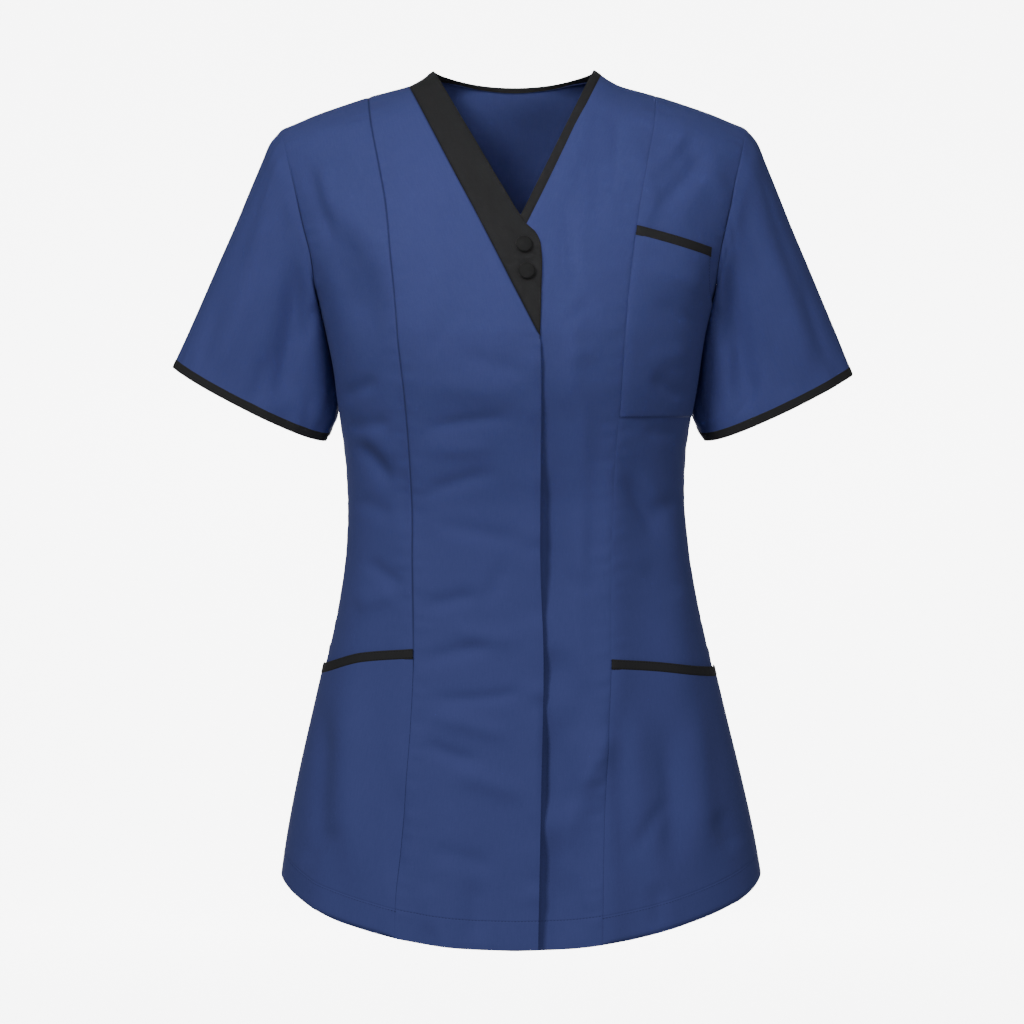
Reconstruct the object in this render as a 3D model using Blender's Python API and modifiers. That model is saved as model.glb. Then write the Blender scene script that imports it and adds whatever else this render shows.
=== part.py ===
"""Short-sleeved beautician tunic with a V neck, a wide neck band and a lapped front.

The cloth is a hollow form, filled out as it is when it is worn. Sizes are in millimetres
and become metres where a mesh is made. +X is the wearer's left, +Y the back, +Z up, and
the origin is midway between the two points where the neck meets the shoulder seams.

Each piece is a grid of points on the worn form with a wall behind it. Neighbouring
pieces share the points and the normals of their seam, and each stands back from it by
half of the seam gap.
"""

import math

import bmesh
import bpy
import numpy as np
from mathutils import Vector

COLLECTION_NAME = "beautician_tunic"
MM = 0.001

# Cloth and seams
CLOTH = 1.2
SEAM_GAP = 0.3
BINDING_WALL = 1.8
BINDING_PROUD = 0.3
BINDING_WIDTH = 7.0

# Worn form
SECTION_POWER = 2.3
UNDERARM_Z = -197.0
SHOULDER_TURN = 30.0
SHOULDER_LEAN = -0.4
HEM_LEAN = 3.0
NECK_POINT_SET = 5.0
SHOULDER_TIP_SET = 12.0
NECK_HALF = 68.5
SHOULDER_TIP = 197.0
NECK_BACK_DROP = 10.0
NECK_SEAM_HALF = 73.0

# Front opening and band
UNDERLAP_X = -22.0
BAND_TOP_X = -90.0
BAND_TIP = (20.5, -225.3)
BAND_TIP_WIDTH = 1.0
NECKLINE_TOP_X = SHOULDER_LEAN + NECK_SEAM_HALF
NECKLINE_SLOPE = 0.493
UNDERLAP_DEPTH = 2.0
UNDERLAP_FULL_X = 26.0
UNDERLAP_END_X = 42.0

FRONT = -1.0
BACK = 1.0
RIGHT = -1.0
LEFT = 1.0


class Table:
    """Rows of sizes with named columns, read smoothly between the rows."""

    def __init__(self, columns, rows):
        ordered = np.array(sorted(rows), dtype=float)
        self.key = ordered[:, 0]
        self.columns = {}
        for index, name in enumerate(columns.split()[1:], start=1):
            values = ordered[:, index]
            self.columns[name] = (values, self.slopes(values))

    def slopes(self, values):
        """Slopes that keep the curve from swinging past its own rows."""
        step = np.diff(self.key)
        rise = np.diff(values) / step
        slope = np.empty_like(values)
        slope[0] = rise[0]
        slope[-1] = rise[-1]
        for i in range(1, len(values) - 1):
            if rise[i - 1] * rise[i] <= 0.0:
                slope[i] = 0.0
            else:
                before = 2.0 * step[i] + step[i - 1]
                after = step[i] + 2.0 * step[i - 1]
                slope[i] = (before + after) / (before / rise[i - 1] + after / rise[i])
        return slope

    def at(self, name, key):
        values, slope = self.columns[name]
        key = min(max(key, self.key[0]), self.key[-1])
        i = int(np.searchsorted(self.key, key, side="right")) - 1
        i = min(max(i, 0), len(self.key) - 2)
        step = self.key[i + 1] - self.key[i]
        t = (key - self.key[i]) / step
        start = (1.0 + 2.0 * t) * (1.0 - t) ** 2 * values[i]
        start_slope = t * (1.0 - t) ** 2 * step * slope[i]
        end = t * t * (3.0 - 2.0 * t) * values[i + 1]
        end_slope = t * t * (t - 1.0) * step * slope[i + 1]
        return float(start + start_slope + end + end_slope)


# Sections of the worn body, one row for each height. Above the underarm the half width
# is that of the form which the armholes cut.
BODY = Table("z half_width front back lean", [
    (0.0, 222.0, 29.0, 50.0, -1.5),
    (-10.0, 221.0, 33.0, 56.0, -1.4),
    (-20.0, 220.0, 38.0, 58.0, -1.3),
    (-50.0, 216.5, 59.0, 70.0, -1.0),
    (-100.0, 207.5, 87.0, 90.0, -0.6),
    (-150.0, 190.0, 109.0, 100.0, -0.3),
    (-197.0, 166.0, 121.0, 101.0, 0.0),
    (-212.0, 160.5, 124.0, 100.0, 0.0),
    (-225.0, 157.0, 126.0, 99.0, 0.0),
    (-260.0, 151.2, 124.0, 95.0, 0.0),
    (-300.0, 147.2, 114.0, 89.0, 0.0),
    (-340.0, 143.5, 106.0, 84.0, 0.4),
    (-370.0, 142.5, 102.0, 82.0, 1.0),
    (-400.0, 144.0, 102.0, 85.0, 1.8),
    (-450.0, 151.8, 104.0, 93.0, 2.9),
    (-500.0, 163.4, 108.0, 104.0, 3.2),
    (-550.0, 175.5, 112.0, 114.0, 3.4),
    (-600.0, 187.3, 118.0, 119.0, 4.0),
    (-650.0, 197.6, 124.0, 122.0, 4.8),
    (-700.0, 205.6, 131.0, 127.0, 5.4),
    (-750.0, 213.6, 138.0, 131.0, 5.4),
])

# Top line of the form by distance from the middle. Inside the neck it only shapes the
# roll of the cloth below it.
SHOULDER = Table("across z", [
    (0.0, 20.0), (30.0, 14.0), (50.0, 7.0), (62.0, 3.5), (68.5, 0.0), (80.0, -8.0),
    (90.0, -13.0), (106.0, -17.5), (126.0, -23.0), (145.0, -29.0), (168.0, -37.0),
    (187.0, -45.0), (197.0, -49.0), (230.0, -64.0),
])

# Armhole seam by height, as distances from the middle.
ARMHOLE = Table("z front back", [
    (-49.0, 197.0, 197.0), (-75.0, 190.5, 193.0), (-100.0, 184.0, 189.0),
    (-130.0, 177.5, 184.5), (-161.0, 170.0, 178.0), (-175.0, 167.5, 174.0),
    (-185.0, 166.5, 170.0), (-192.0, 166.3, 167.5), (-197.0, 166.0, 166.0),
])

# Princess seams by height, as places across the front.
PRINCESS = Table("z right left", [
    (-20.0, -124.5, 119.5), (-50.0, -120.0, 116.0), (-84.0, -113.0, 109.0),
    (-120.0, -106.5, 102.5), (-170.0, -101.5, 95.5), (-220.0, -97.5, 90.5),
    (-280.0, -91.5, 86.5), (-340.0, -87.0, 81.0), (-410.0, -84.5, 78.5),
    (-490.0, -83.5, 78.0), (-550.0, -86.0, 76.0), (-620.0, -91.5, 73.0),
    (-690.0, -97.5, 71.5), (-740.0, -99.0, 71.0),
])

# Edge of the right front below the band, which waves a little.
LAP_EDGE = Table("z x", [
    (-225.3, 20.5), (-280.0, 21.3), (-400.0, 20.6), (-500.0, 23.4), (-600.0, 21.4),
    (-728.0, 18.8),
])

# Hem by distance from the middle.
HEM = Table("across z", [
    (0.0, -728.7), (45.0, -727.2), (88.0, -721.5), (125.0, -713.4), (150.0, -706.0),
    (175.0, -696.0), (192.0, -687.8), (204.0, -680.0), (230.0, -668.0),
])

# Largest soft folds of the cloth, each along a line. A height below zero is a trough.
FOLDS = [dict(zip("side start end half_width height".split(), row)) for row in [
    (FRONT, (72.0, -540.0), (36.0, -650.0), 24.0, 4.0),
    (FRONT, (-150.0, -510.0), (-166.0, -760.0), 24.0, 3.5),
    (FRONT, (112.0, -560.0), (120.0, -800.0), 26.0, 3.5),
    (FRONT, (-52.0, -600.0), (-58.0, -800.0), 28.0, 3.0),
    (FRONT, (84.0, -320.0), (128.0, -410.0), 22.0, -2.5),
    (FRONT, (-128.0, -300.0), (-60.0, -420.0), 26.0, -2.5),
    (BACK, (-72.0, -270.0), (-80.0, -450.0), 30.0, -5.0),
    (BACK, (72.0, -270.0), (80.0, -450.0), 30.0, -5.0),
    (BACK, (-88.0, -560.0), (-104.0, -800.0), 34.0, 4.5),
    (BACK, (14.0, -590.0), (20.0, -800.0), 34.0, 3.5),
    (BACK, (92.0, -540.0), (108.0, -800.0), 34.0, 4.5),
    (BACK, (-158.0, -120.0), (-92.0, -230.0), 26.0, -3.0),
    (BACK, (156.0, -125.0), (96.0, -215.0), 26.0, -3.0),
]]
FOLD_FADE_DEPTH = 25.0
FOLD_END_SHARE = 0.3

# Steps and first guess of the searches for a point of the form.
SEARCH_STEPS = 40
START_ACROSS = 150.0

# Heights of the rows of points, as a share of the way from the shoulder line to the
# underarm (0 to 1) and from there to the hem (1 to 2).
UPPER_ROWS = [0.0, 0.012, 0.045, 0.1, 0.18, 0.27, 0.37, 0.47, 0.57, 0.67, 0.77, 0.86,
              0.92, 0.966, 1.0]
LOWER_ROWS = [1.022, 1.0532, 1.1, 1.165, 1.24, 1.32, 1.4, 1.48, 1.56, 1.64, 1.72, 1.8,
              1.88, 1.95, 2.0]
ROWS = UPPER_ROWS + LOWER_ROWS
UNDERARM_ROW = len(UPPER_ROWS) - 1
TIP_ROW = ROWS.index(1.0532)
SIDE_COLUMNS = 5
CENTRE_COLUMNS = 5
NECK_COLUMNS = 5


def unit(vector):
    return vector / max(float(np.linalg.norm(vector)), 1e-9)


def smooth_step(value):
    value = min(max(value, 0.0), 1.0)
    return value * value * (3.0 - 2.0 * value)


def seam_set(x, z):
    """How far back of the side seams the shoulder seam lies, fading to the underarm."""
    across = (abs(x) - NECK_HALF) / (SHOULDER_TIP - NECK_HALF)
    at_shoulder = NECK_POINT_SET + (SHOULDER_TIP_SET - NECK_POINT_SET) * max(across, 0.0)
    return at_shoulder * smooth_step((z - UNDERARM_Z) / -UNDERARM_Z)


def shoulder_z(x):
    return SHOULDER.at("z", abs(x - SHOULDER_LEAN))


def hem_z(x):
    return HEM.at("z", abs(x - HEM_LEAN))


def depth_squared(x, z, side):
    """Square of the depth of the form in front of or behind its seam plane."""
    depth = BODY.at("front" if side == FRONT else "back", z)
    across = abs(x - BODY.at("lean", z)) / BODY.at("half_width", z)
    rest = 1.0 - across ** SECTION_POWER
    section = math.copysign(abs(rest) ** (2.0 / SECTION_POWER), rest)
    below = (shoulder_z(x) - z) / SHOULDER_TURN
    turn = 1.0 if below >= 1.0 else 1.0 - (1.0 - below) ** 2
    return depth * depth * section * turn


def body_point(x, z, side):
    depth = math.sqrt(max(depth_squared(x, z, side), 0.0))
    return np.array([x, seam_set(x, z) + side * depth, z])


def form_value(point, side):
    """Zero on the worn form and growing outwards."""
    x, y, z = point
    return (y - seam_set(x, z)) ** 2 - depth_squared(x, z, side)


def form_gradient(point, side, step=0.05):
    gradient = np.zeros(3)
    for axis in range(3):
        shift = np.zeros(3)
        shift[axis] = step
        ahead = form_value(point + shift, side)
        behind = form_value(point - shift, side)
        gradient[axis] = (ahead - behind) / (2.0 * step)
    return gradient


def body_normal(point, side):
    return unit(form_gradient(point, side))


def settle(point, side, rounds=12):
    """The nearest point of the worn form, by small steps along its gradient."""
    point = np.array(point, dtype=float)
    for _ in range(rounds):
        gradient = form_gradient(point, side)
        size = max(float(gradient @ gradient), 1e-6)
        point = point - gradient * form_value(point, side) / size
    return point


def fold_height(x, z, side):
    """Height of the soft folds over the form, fading out towards the seam plane."""
    height = 0.0
    here = np.array([x, z])
    for fold in FOLDS:
        if fold["side"] != side:
            continue
        start = np.array(fold["start"])
        run = np.array(fold["end"]) - start
        along = float((here - start) @ run) / float(run @ run)
        if not 0.0 < along < 1.0:
            continue
        away = float(np.linalg.norm(here - start - run * along)) / fold["half_width"]
        if away < 1.0:
            ends = smooth_step(along / FOLD_END_SHARE) * smooth_step((1.0 - along) / FOLD_END_SHARE)
            height += fold["height"] * ends * math.cos(0.5 * math.pi * away) ** 2
    depth = math.sqrt(max(depth_squared(x, z, side), 0.0))
    return height * smooth_step(depth / FOLD_FADE_DEPTH)


def row_z(x, row, top):
    if row <= 1.0:
        return (1.0 - row) * top(x) + row * UNDERARM_Z
    return UNDERARM_Z + (row - 1.0) * (hem_z(x) - UNDERARM_Z)


def on_row(edge, row, top):
    """Where an edge, given as x by height, crosses a row."""
    z = row_z(edge(UNDERARM_Z * row), row, top)
    for _ in range(SEARCH_STEPS):
        z = 0.5 * z + 0.5 * row_z(edge(z), row, top)
    return edge(z), z


def side_edge(hand, side):
    """Armhole seam above the underarm and side seam below it."""
    name = "front" if side == FRONT else "back"

    def edge(z):
        half = ARMHOLE.at(name, z) if z > UNDERARM_Z else BODY.at("half_width", z)
        return BODY.at("lean", z) + hand * half
    return edge


def princess_edge(hand):
    name = "right" if hand == RIGHT else "left"
    return lambda z: PRINCESS.at(name, z)


def band_line(z):
    """Straight seam between the wide band and the right front."""
    top_z = shoulder_z(BAND_TOP_X)
    share = (z - top_z) / (BAND_TIP[1] - top_z)
    return BAND_TOP_X + share * (BAND_TIP[0] - BAND_TIP_WIDTH - BAND_TOP_X)


def right_front_edge(z):
    """Band seam down to the band's tip and the lapped front edge below it."""
    if z > BAND_TIP[1]:
        return band_line(z)
    return LAP_EDGE.at("x", z)


def neckline_line(z):
    top_z = shoulder_z(NECKLINE_TOP_X)
    return NECKLINE_TOP_X + NECKLINE_SLOPE * (z - top_z)


def left_front_edge(z):
    """Neckline and, below it, the edge that lies under the right front."""
    return max(neckline_line(z), UNDERLAP_X)


def section_angle(x, z, hand):
    across = hand * (x - BODY.at("lean", z)) / BODY.at("half_width", z)
    across = min(max(across, -1.0), 1.0)
    share = math.copysign(abs(across) ** (SECTION_POWER / 2.0), across)
    return math.acos(share)


def at_angle(angle, row, hand, top):
    """Point across a row where the section has the given angle from its side."""
    share = math.cos(angle)
    across = math.copysign(abs(share) ** (2.0 / SECTION_POWER), share)
    z = row_z(hand * START_ACROSS, row, top)
    for _ in range(SEARCH_STEPS):
        x = BODY.at("lean", z) + hand * BODY.at("half_width", z) * across
        z = 0.5 * z + 0.5 * row_z(x, row, top)
    x = BODY.at("lean", z) + hand * BODY.at("half_width", z) * across
    return x, z


def side_row(row, hand, side, inner, outer, top):
    """Places from the princess line to the armhole or side seam, closer at the turn."""
    start = on_row(inner, row, top)
    end = on_row(outer, row, top)
    first = section_angle(start[0], start[1], hand)
    last = section_angle(end[0], end[1], hand)
    places = [start]
    for k in range(1, SIDE_COLUMNS):
        angle = first + (last - first) * k / SIDE_COLUMNS
        places.append(at_angle(angle, row, hand, top))
    places.append(end)
    return places


def centre_row(row, inner, outer, top, columns=CENTRE_COLUMNS):
    """Places from the princess line to the front edge, evenly spaced."""
    start = on_row(inner, row, top)
    end = on_row(outer, row, top)
    places = [start]
    for k in range(1, columns):
        x = start[0] + (end[0] - start[0]) * k / columns
        places.append((x, row_z(x, row, top)))
    places.append(end)
    return places


def grid_from_rows(rows, side):
    """Points and normals of the worn form at rows of places."""
    points = np.array([[body_point(x, z, side) for x, z in places] for places in rows])
    normals = np.array([[body_normal(point, side) for point in line] for line in points])
    heights = np.array([[fold_height(x, z, side) for x, z in places] for places in rows])
    return points + normals * heights[:, :, None], normals


# ---------------------------------------------------------------- pieces as grids

class Piece:
    """A piece of cloth as a grid of outer points with their normals."""

    def __init__(self, points, normals):
        self.points = np.array(points, dtype=float)
        self.normals = np.array(normals, dtype=float)
        self.shift = np.zeros_like(self.points)

    def stand_back(self, rows, column, inner_column):
        """Hold part of a column of points back from its seam."""
        self.shift[rows, column] += seam_shift(
            self.points[rows, column], self.normals[rows, column],
            self.points[rows, inner_column])

    def stand_back_top(self, columns=slice(None)):
        self.shift[0, columns] += seam_shift(
            self.points[0, columns], self.normals[0, columns], self.points[1, columns])

    def outer(self):
        return self.points + self.shift

    def at(self, column, row):
        """Point and normal on the piece's own facets at fractions of its grid."""
        j = min(int(column), self.points.shape[1] - 2)
        i = min(int(row), self.points.shape[0] - 2)
        u = column - j
        v = row - i
        found = []
        for grid in (self.points, self.normals):
            upper = grid[i, j] * (1.0 - u) + grid[i, j + 1] * u
            lower = grid[i + 1, j] * (1.0 - u) + grid[i + 1, j + 1] * u
            found.append(upper * (1.0 - v) + lower * v)
        return found[0], unit(found[1])

    def row_at_height(self, column, z):
        """Fraction of the rows where a column of the grid reaches a height."""
        low, high = 0.0, self.points.shape[0] - 1.0
        for _ in range(SEARCH_STEPS):
            middle = 0.5 * (low + high)
            if self.at(column, middle)[0][2] > z:
                low = middle
            else:
                high = middle
        return 0.5 * (low + high)


def seam_shift(line, normals, inner_line):
    """Half of the seam gap, away from the seam and along the cloth."""
    shift = np.zeros_like(line)
    last = len(line) - 1
    for i in range(len(line)):
        tangent = unit(line[min(i + 1, last)] - line[max(i - 1, 0)])
        away = unit(np.cross(tangent, normals[i]))
        if away @ (inner_line[i] - line[i]) < 0.0:
            away = -away
        shift[i] = away * SEAM_GAP / 2.0
    return shift


def underlap(x):
    """How deep the left front lies below the right front."""
    return UNDERLAP_DEPTH * smooth_step((UNDERLAP_END_X - x) / (UNDERLAP_END_X - UNDERLAP_FULL_X))


def build_fronts():
    pieces = {}
    edges = {RIGHT: right_front_edge, LEFT: left_front_edge}
    for hand, name in ((RIGHT, "right"), (LEFT, "left")):
        princess = princess_edge(hand)
        outer = side_edge(hand, FRONT)
        side_rows = [side_row(row, hand, FRONT, princess, outer, shoulder_z) for row in ROWS]
        centre_rows = [centre_row(row, princess, edges[hand], shoulder_z) for row in ROWS]
        pieces["front_side_" + name] = Piece(*grid_from_rows(side_rows, FRONT))
        pieces["front_centre_" + name] = Piece(*grid_from_rows(centre_rows, FRONT))
    lapped = pieces["front_centre_left"]
    for i, j in np.ndindex(lapped.points.shape[:2]):
        sink = underlap(lapped.points[i, j, 0]) * lapped.normals[i, j]
        lapped.points[i, j] -= sink
    return pieces


def neck_stations():
    """Pairs of points across the back neck binding, from the middle to a shoulder seam."""
    stations = []
    for k in range(NECK_COLUMNS + 1):
        turn = math.sin(0.5 * math.pi * k / NECK_COLUMNS)
        across = NECK_HALF * turn
        drop = -NECK_BACK_DROP * (1.0 - turn * turn)
        stations.append((across, drop))
    return stations


def neck_back_line():
    """Neck edge and binding seam of the back, from the right shoulder to the left."""
    half = neck_stations()
    line = [(-across, z) for across, z in reversed(half)] + half[1:]
    edge = np.array([body_point(SHOULDER_LEAN + x, z, BACK) for x, z in line])
    seam = edge.copy()
    last = len(edge) - 1
    for i in range(1, last):
        tangent = unit(edge[i + 1] - edge[i - 1])
        away = np.cross(tangent, body_normal(edge[i], BACK))
        if away[2] > 0.0:
            away = -away
        seam[i] = settle(edge[i] + away * BINDING_WIDTH, BACK)
    for i, hand in ((0, RIGHT), (last, LEFT)):
        x = SHOULDER_LEAN + hand * NECK_SEAM_HALF
        seam[i] = body_point(x, shoulder_z(x), BACK)
    return edge, seam


def build_back(neck_seam):
    """One piece from side seam to side seam, with the columns of the fronts' shoulders."""
    seam_table = Table("x z", [(point[0], point[2]) for point in neck_seam])
    neck_low, neck_high = neck_seam[0][0], neck_seam[-1][0]

    def top(x):
        if neck_low < x < neck_high:
            return seam_table.at("z", x)
        return shoulder_z(x)

    right_x = [x for x, _ in centre_row(0.0, princess_edge(RIGHT), right_front_edge, shoulder_z)]
    left_x = [x for x, _ in centre_row(0.0, princess_edge(LEFT), left_front_edge, shoulder_z)]
    band_x = band_shoulder_places()[1:2]
    middle_x = right_x + band_x + [point[0] for point in neck_seam] + left_x[::-1][1:]
    rows = []
    for row in ROWS:
        right_side = side_row(row, RIGHT, BACK, princess_edge(RIGHT),
                              side_edge(RIGHT, BACK), top)[::-1]
        left_side = side_row(row, LEFT, BACK, princess_edge(LEFT),
                             side_edge(LEFT, BACK), top)
        start, end = right_side[-1][0], left_side[0][0]
        spread = smooth_step(row)
        places = []
        for k, shoulder_x in enumerate(middle_x[1:-1], start=1):
            share = (shoulder_x - middle_x[0]) / (middle_x[-1] - middle_x[0])
            even = k / (len(middle_x) - 1)
            share += (even - share) * spread
            x = start + (end - start) * share
            places.append((x, row_z(x, row, top)))
        rows.append(right_side + places + left_side)
    piece = Piece(*grid_from_rows(rows, BACK))
    first = SIDE_COLUMNS + len(right_x) + len(band_x)
    for k, point in enumerate(neck_seam):
        piece.points[0, first + k] = point
        piece.normals[0, first + k] = body_normal(point, BACK)
    return piece


def band_shoulder_places():
    """Places of the band's columns along the right shoulder seam."""
    inner = SHOULDER_LEAN - NECK_HALF
    binding = SHOULDER_LEAN - NECK_SEAM_HALF
    middle = 0.5 * (BAND_TOP_X + binding)
    return [BAND_TOP_X, middle, binding, inner]


# Free edge of the band by share of its seam's length.
BAND_EDGE = Table("share x z", [
    (0.0, -68.9, 0.0), (0.3, -33.0, -62.5), (0.595, 3.3, -124.5), (0.64, 9.2, -133.5),
    (0.69, 17.5, -141.5), (0.735, 21.3, -152.0), (0.8, 22.2, -166.2),
    (0.88, 21.5, -188.4), (1.0, 20.5, -225.3),
])


def build_band(front):
    """Wide band from the right shoulder to its tip at the lapped edge."""
    seam = front.points[:TIP_ROW + 1, -1]
    shoulder_places = band_shoulder_places()
    span = shoulder_places[-1] - shoulder_places[0]
    shares = [(x - shoulder_places[0]) / span for x in shoulder_places]
    rows = []
    for point in seam:
        along = (seam[0, 2] - point[2]) / (seam[0, 2] - seam[-1, 2])
        edge_x = BAND_EDGE.at("x", along)
        edge_z = min(BAND_EDGE.at("z", along), shoulder_z(edge_x))
        seam_below = shoulder_z(point[0]) - point[2]
        edge_below = shoulder_z(edge_x) - edge_z
        places = []
        for share in shares:
            x = point[0] + (edge_x - point[0]) * share
            below = seam_below + (edge_below - seam_below) * share
            places.append((x, shoulder_z(x) - below))
        rows.append(places)
    return Piece(*grid_from_rows(rows, FRONT))


def build_neck_binding(neck_edge, neck_seam, front_left):
    """Narrow strip round the back neck and down the left neckline to its lapped end."""
    pairs = [(edge, seam, BACK, 0.0) for edge, seam in zip(neck_edge, neck_seam)]
    line = front_left.points[:UNDERARM_ROW, -1]
    for i in range(1, len(line)):
        surface = line[i] + underlap(line[i, 0]) * front_left.normals[i, -1]
        tangent = unit(line[min(i + 1, len(line) - 1)] - line[i - 1])
        away = np.cross(tangent, front_left.normals[i, -1])
        if away[2] < 0.0:
            away = -away
        edge = settle(surface + away * BINDING_WIDTH, FRONT)
        pairs.append((edge, surface, FRONT, underlap(line[i, 0])))
    points = np.array([[edge, seam] for edge, seam, _, _ in pairs])
    normals = np.array([[body_normal(edge, side), body_normal(seam, side)]
                        for edge, seam, side, _ in pairs])
    depths = np.array([depth for _, _, _, depth in pairs])
    points -= normals * depths[:, None, None]
    return Piece(points, normals)


# Sections of a sleeve by share of its length. The outer line is given by its distance
# from the middle, the inner line by how far it keeps clear of the body.
SLEEVE = Table("share outer_x outer_z inner_z clear mid_y depth dip", [
    (0.0, 197.0, -49.0, -197.0, 0.0, 2.0, 51.0, 0.0),
    (0.06, 207.3, -61.0, -202.0, 0.4, 3.0, 51.0, 0.4),
    (0.13, 213.4, -75.0, -209.0, 0.6, 4.5, 51.5, 0.8),
    (0.25, 224.0, -99.5, -221.0, 0.7, 7.0, 52.0, 2.0),
    (0.4, 237.0, -130.0, -239.0, 0.7, 10.0, 52.0, 3.5),
    (0.55, 250.5, -160.0, -256.0, 0.7, 12.0, 51.5, 5.0),
    (0.7, 264.0, -190.5, -273.5, 0.8, 13.0, 51.0, 6.6),
    (0.85, 277.5, -221.0, -290.5, 2.6, 13.0, 50.0, 8.1),
    (1.0, 291.0, -251.0, -307.5, 11.5, 13.0, 49.0, 9.3),
])
SLEEVE_SHARES = [0.0, 0.06, 0.13, 0.25, 0.4, 0.55, 0.7, 0.85, 1.0]
SLEEVE_REACH = {RIGHT: 1.0, LEFT: 0.967}
SLEEVE_DROP = {RIGHT: 1.0, LEFT: 1.028}
BACK_DIP = 0.5
DIP_ROUND = 0.6
DIP_LEAN = 0.9
FOLDED_NORMALS = 0.7
FOLD_LEAN = 0.3


def sleeve_section(hand, share, angle):
    """Point of an oval sleeve section. Angle 0 is the outer line, half a turn the inner."""
    tip_x = SLEEVE.at("outer_x", 0.0)
    tip_z = SLEEVE.at("outer_z", 0.0)
    outer_x = tip_x + (SLEEVE.at("outer_x", share) - tip_x) * SLEEVE_REACH[hand]
    outer_z = tip_z + (SLEEVE.at("outer_z", share) - tip_z) * SLEEVE_DROP[hand]
    inner_z = SLEEVE.at("inner_z", share)
    inner_x = BODY.at("half_width", inner_z) + SLEEVE.at("clear", share)
    lean = SHOULDER_LEAN * (1.0 - share)
    outer = np.array([hand * outer_x + lean, SLEEVE.at("mid_y", share), outer_z])
    inner = np.array([hand * inner_x, SLEEVE.at("mid_y", share), inner_z])
    forward = math.sin(angle)
    inward = 0.5 - 0.5 * math.cos(angle)
    dip = SLEEVE.at("dip", share) * abs(forward) ** DIP_ROUND * inward ** DIP_LEAN
    if forward < 0.0:
        dip *= BACK_DIP
    point = 0.5 * (outer + inner) + 0.5 * (outer - inner) * math.cos(angle)
    return point + np.array([0.0, -SLEEVE.at("depth", share) * forward, -dip])


def tube_normals(points):
    """Outward normals of a tube given as rings of points."""
    normals = np.zeros_like(points)
    last = len(points) - 1
    around = np.roll(points, -1, axis=1) - np.roll(points, 1, axis=1)
    for i, j in np.ndindex(points.shape[:2]):
        along = points[min(i + 1, last), j] - points[max(i - 1, 0), j]
        normals[i, j] = unit(np.cross(around[i, j], along))
    outward = points[-1, 0] - points[-1].mean(axis=0)
    return normals if normals[-1, 0] @ outward > 0.0 else -normals


def build_sleeve(hand, front_side, back):
    """Sleeve, its armhole ring shared with the body, and the binding at its hem."""
    rows = slice(0, UNDERARM_ROW + 1)
    back_column = 0 if hand == RIGHT else -1
    back_inner = 1 if hand == RIGHT else -2
    front_line = front_side.points[rows, -1]
    back_line = back.points[rows, back_column]
    ring = np.vstack([front_line, back_line[-2:0:-1]])
    steps = np.linalg.norm(np.diff(front_line, axis=0), axis=1)
    along = np.concatenate([[0.0], np.cumsum(steps)]) / steps.sum()
    back_steps = np.linalg.norm(np.diff(back_line, axis=0), axis=1)
    back_along = np.concatenate([[0.0], np.cumsum(back_steps)]) / back_steps.sum()
    angles = np.concatenate([math.pi * along, 2.0 * math.pi - math.pi * back_along[-2:0:-1]])
    rings = []
    for share in SLEEVE_SHARES:
        fade = (1.0 - share) ** 2
        rings.append([sleeve_section(hand, share, angle)
                      + (ring[k] - sleeve_section(hand, 0.0, angle)) * fade
                      for k, angle in enumerate(angles)])
    points = np.array(rings)
    normals = tube_normals(points)
    share_armhole(hand, points, normals, front_side, back, back_column, back_inner)
    drop = points[-1] - points[-2]
    drop /= np.linalg.norm(drop, axis=1)[:, None]
    hem = points[-1].copy()
    points[-1] = hem - drop * BINDING_WIDTH
    sleeve = Piece(points, normals)
    sleeve.shift[0] = -armhole_shift(hand, points[0], normals[0])
    sleeve.shift[-1] = -drop * SEAM_GAP / 2.0
    binding = Piece(np.array([points[-1], hem]), np.array([normals[-1], normals[-1]]))
    binding.shift[0] = drop * SEAM_GAP / 2.0
    return sleeve, binding


def armhole_shift(hand, ring, normals):
    """Half of the seam gap at the armhole, towards the body."""
    shift = np.zeros_like(ring)
    around = np.roll(ring, -1, axis=0) - np.roll(ring, 1, axis=0)
    for k in range(len(ring)):
        away = unit(np.cross(around[k], normals[k]))
        if away[0] * hand > 0.0:
            away = -away
        shift[k] = away * SEAM_GAP / 2.0
    return shift


def share_armhole(hand, points, normals, front_side, back, back_column, back_inner):
    """Give the body and the sleeve one normal at each point of the armhole seam."""
    count = UNDERARM_ROW + 1
    body_normals = np.vstack([front_side.normals[:count, -1],
                              back.normals[:count, back_column][-2:0:-1]])
    body_inner = np.vstack([front_side.points[:count, -2],
                            back.points[:count, back_inner][-2:0:-1]])
    for k in range(len(points[0])):
        shared = body_normals[k] + normals[0, k]
        if np.linalg.norm(shared) < FOLDED_NORMALS:
            into_body = unit(body_inner[k] - points[0, k])
            into_sleeve = unit(points[1, k] - points[0, k])
            shared = into_sleeve + FOLD_LEAN * into_body * np.array([1.0, 0.0, 1.0])
        normals[0, k] = unit(shared)
    shift = armhole_shift(hand, points[0], normals[0])
    front_side.normals[:count, -1] = normals[0, :count]
    front_side.shift[:count, -1] += shift[:count]
    back_order = np.concatenate([[0], np.arange(len(points[0]) - 1, count - 2, -1)])
    back.normals[:count, back_column] = normals[0, back_order]
    back.shift[:count, back_column] += shift[back_order]


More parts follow.
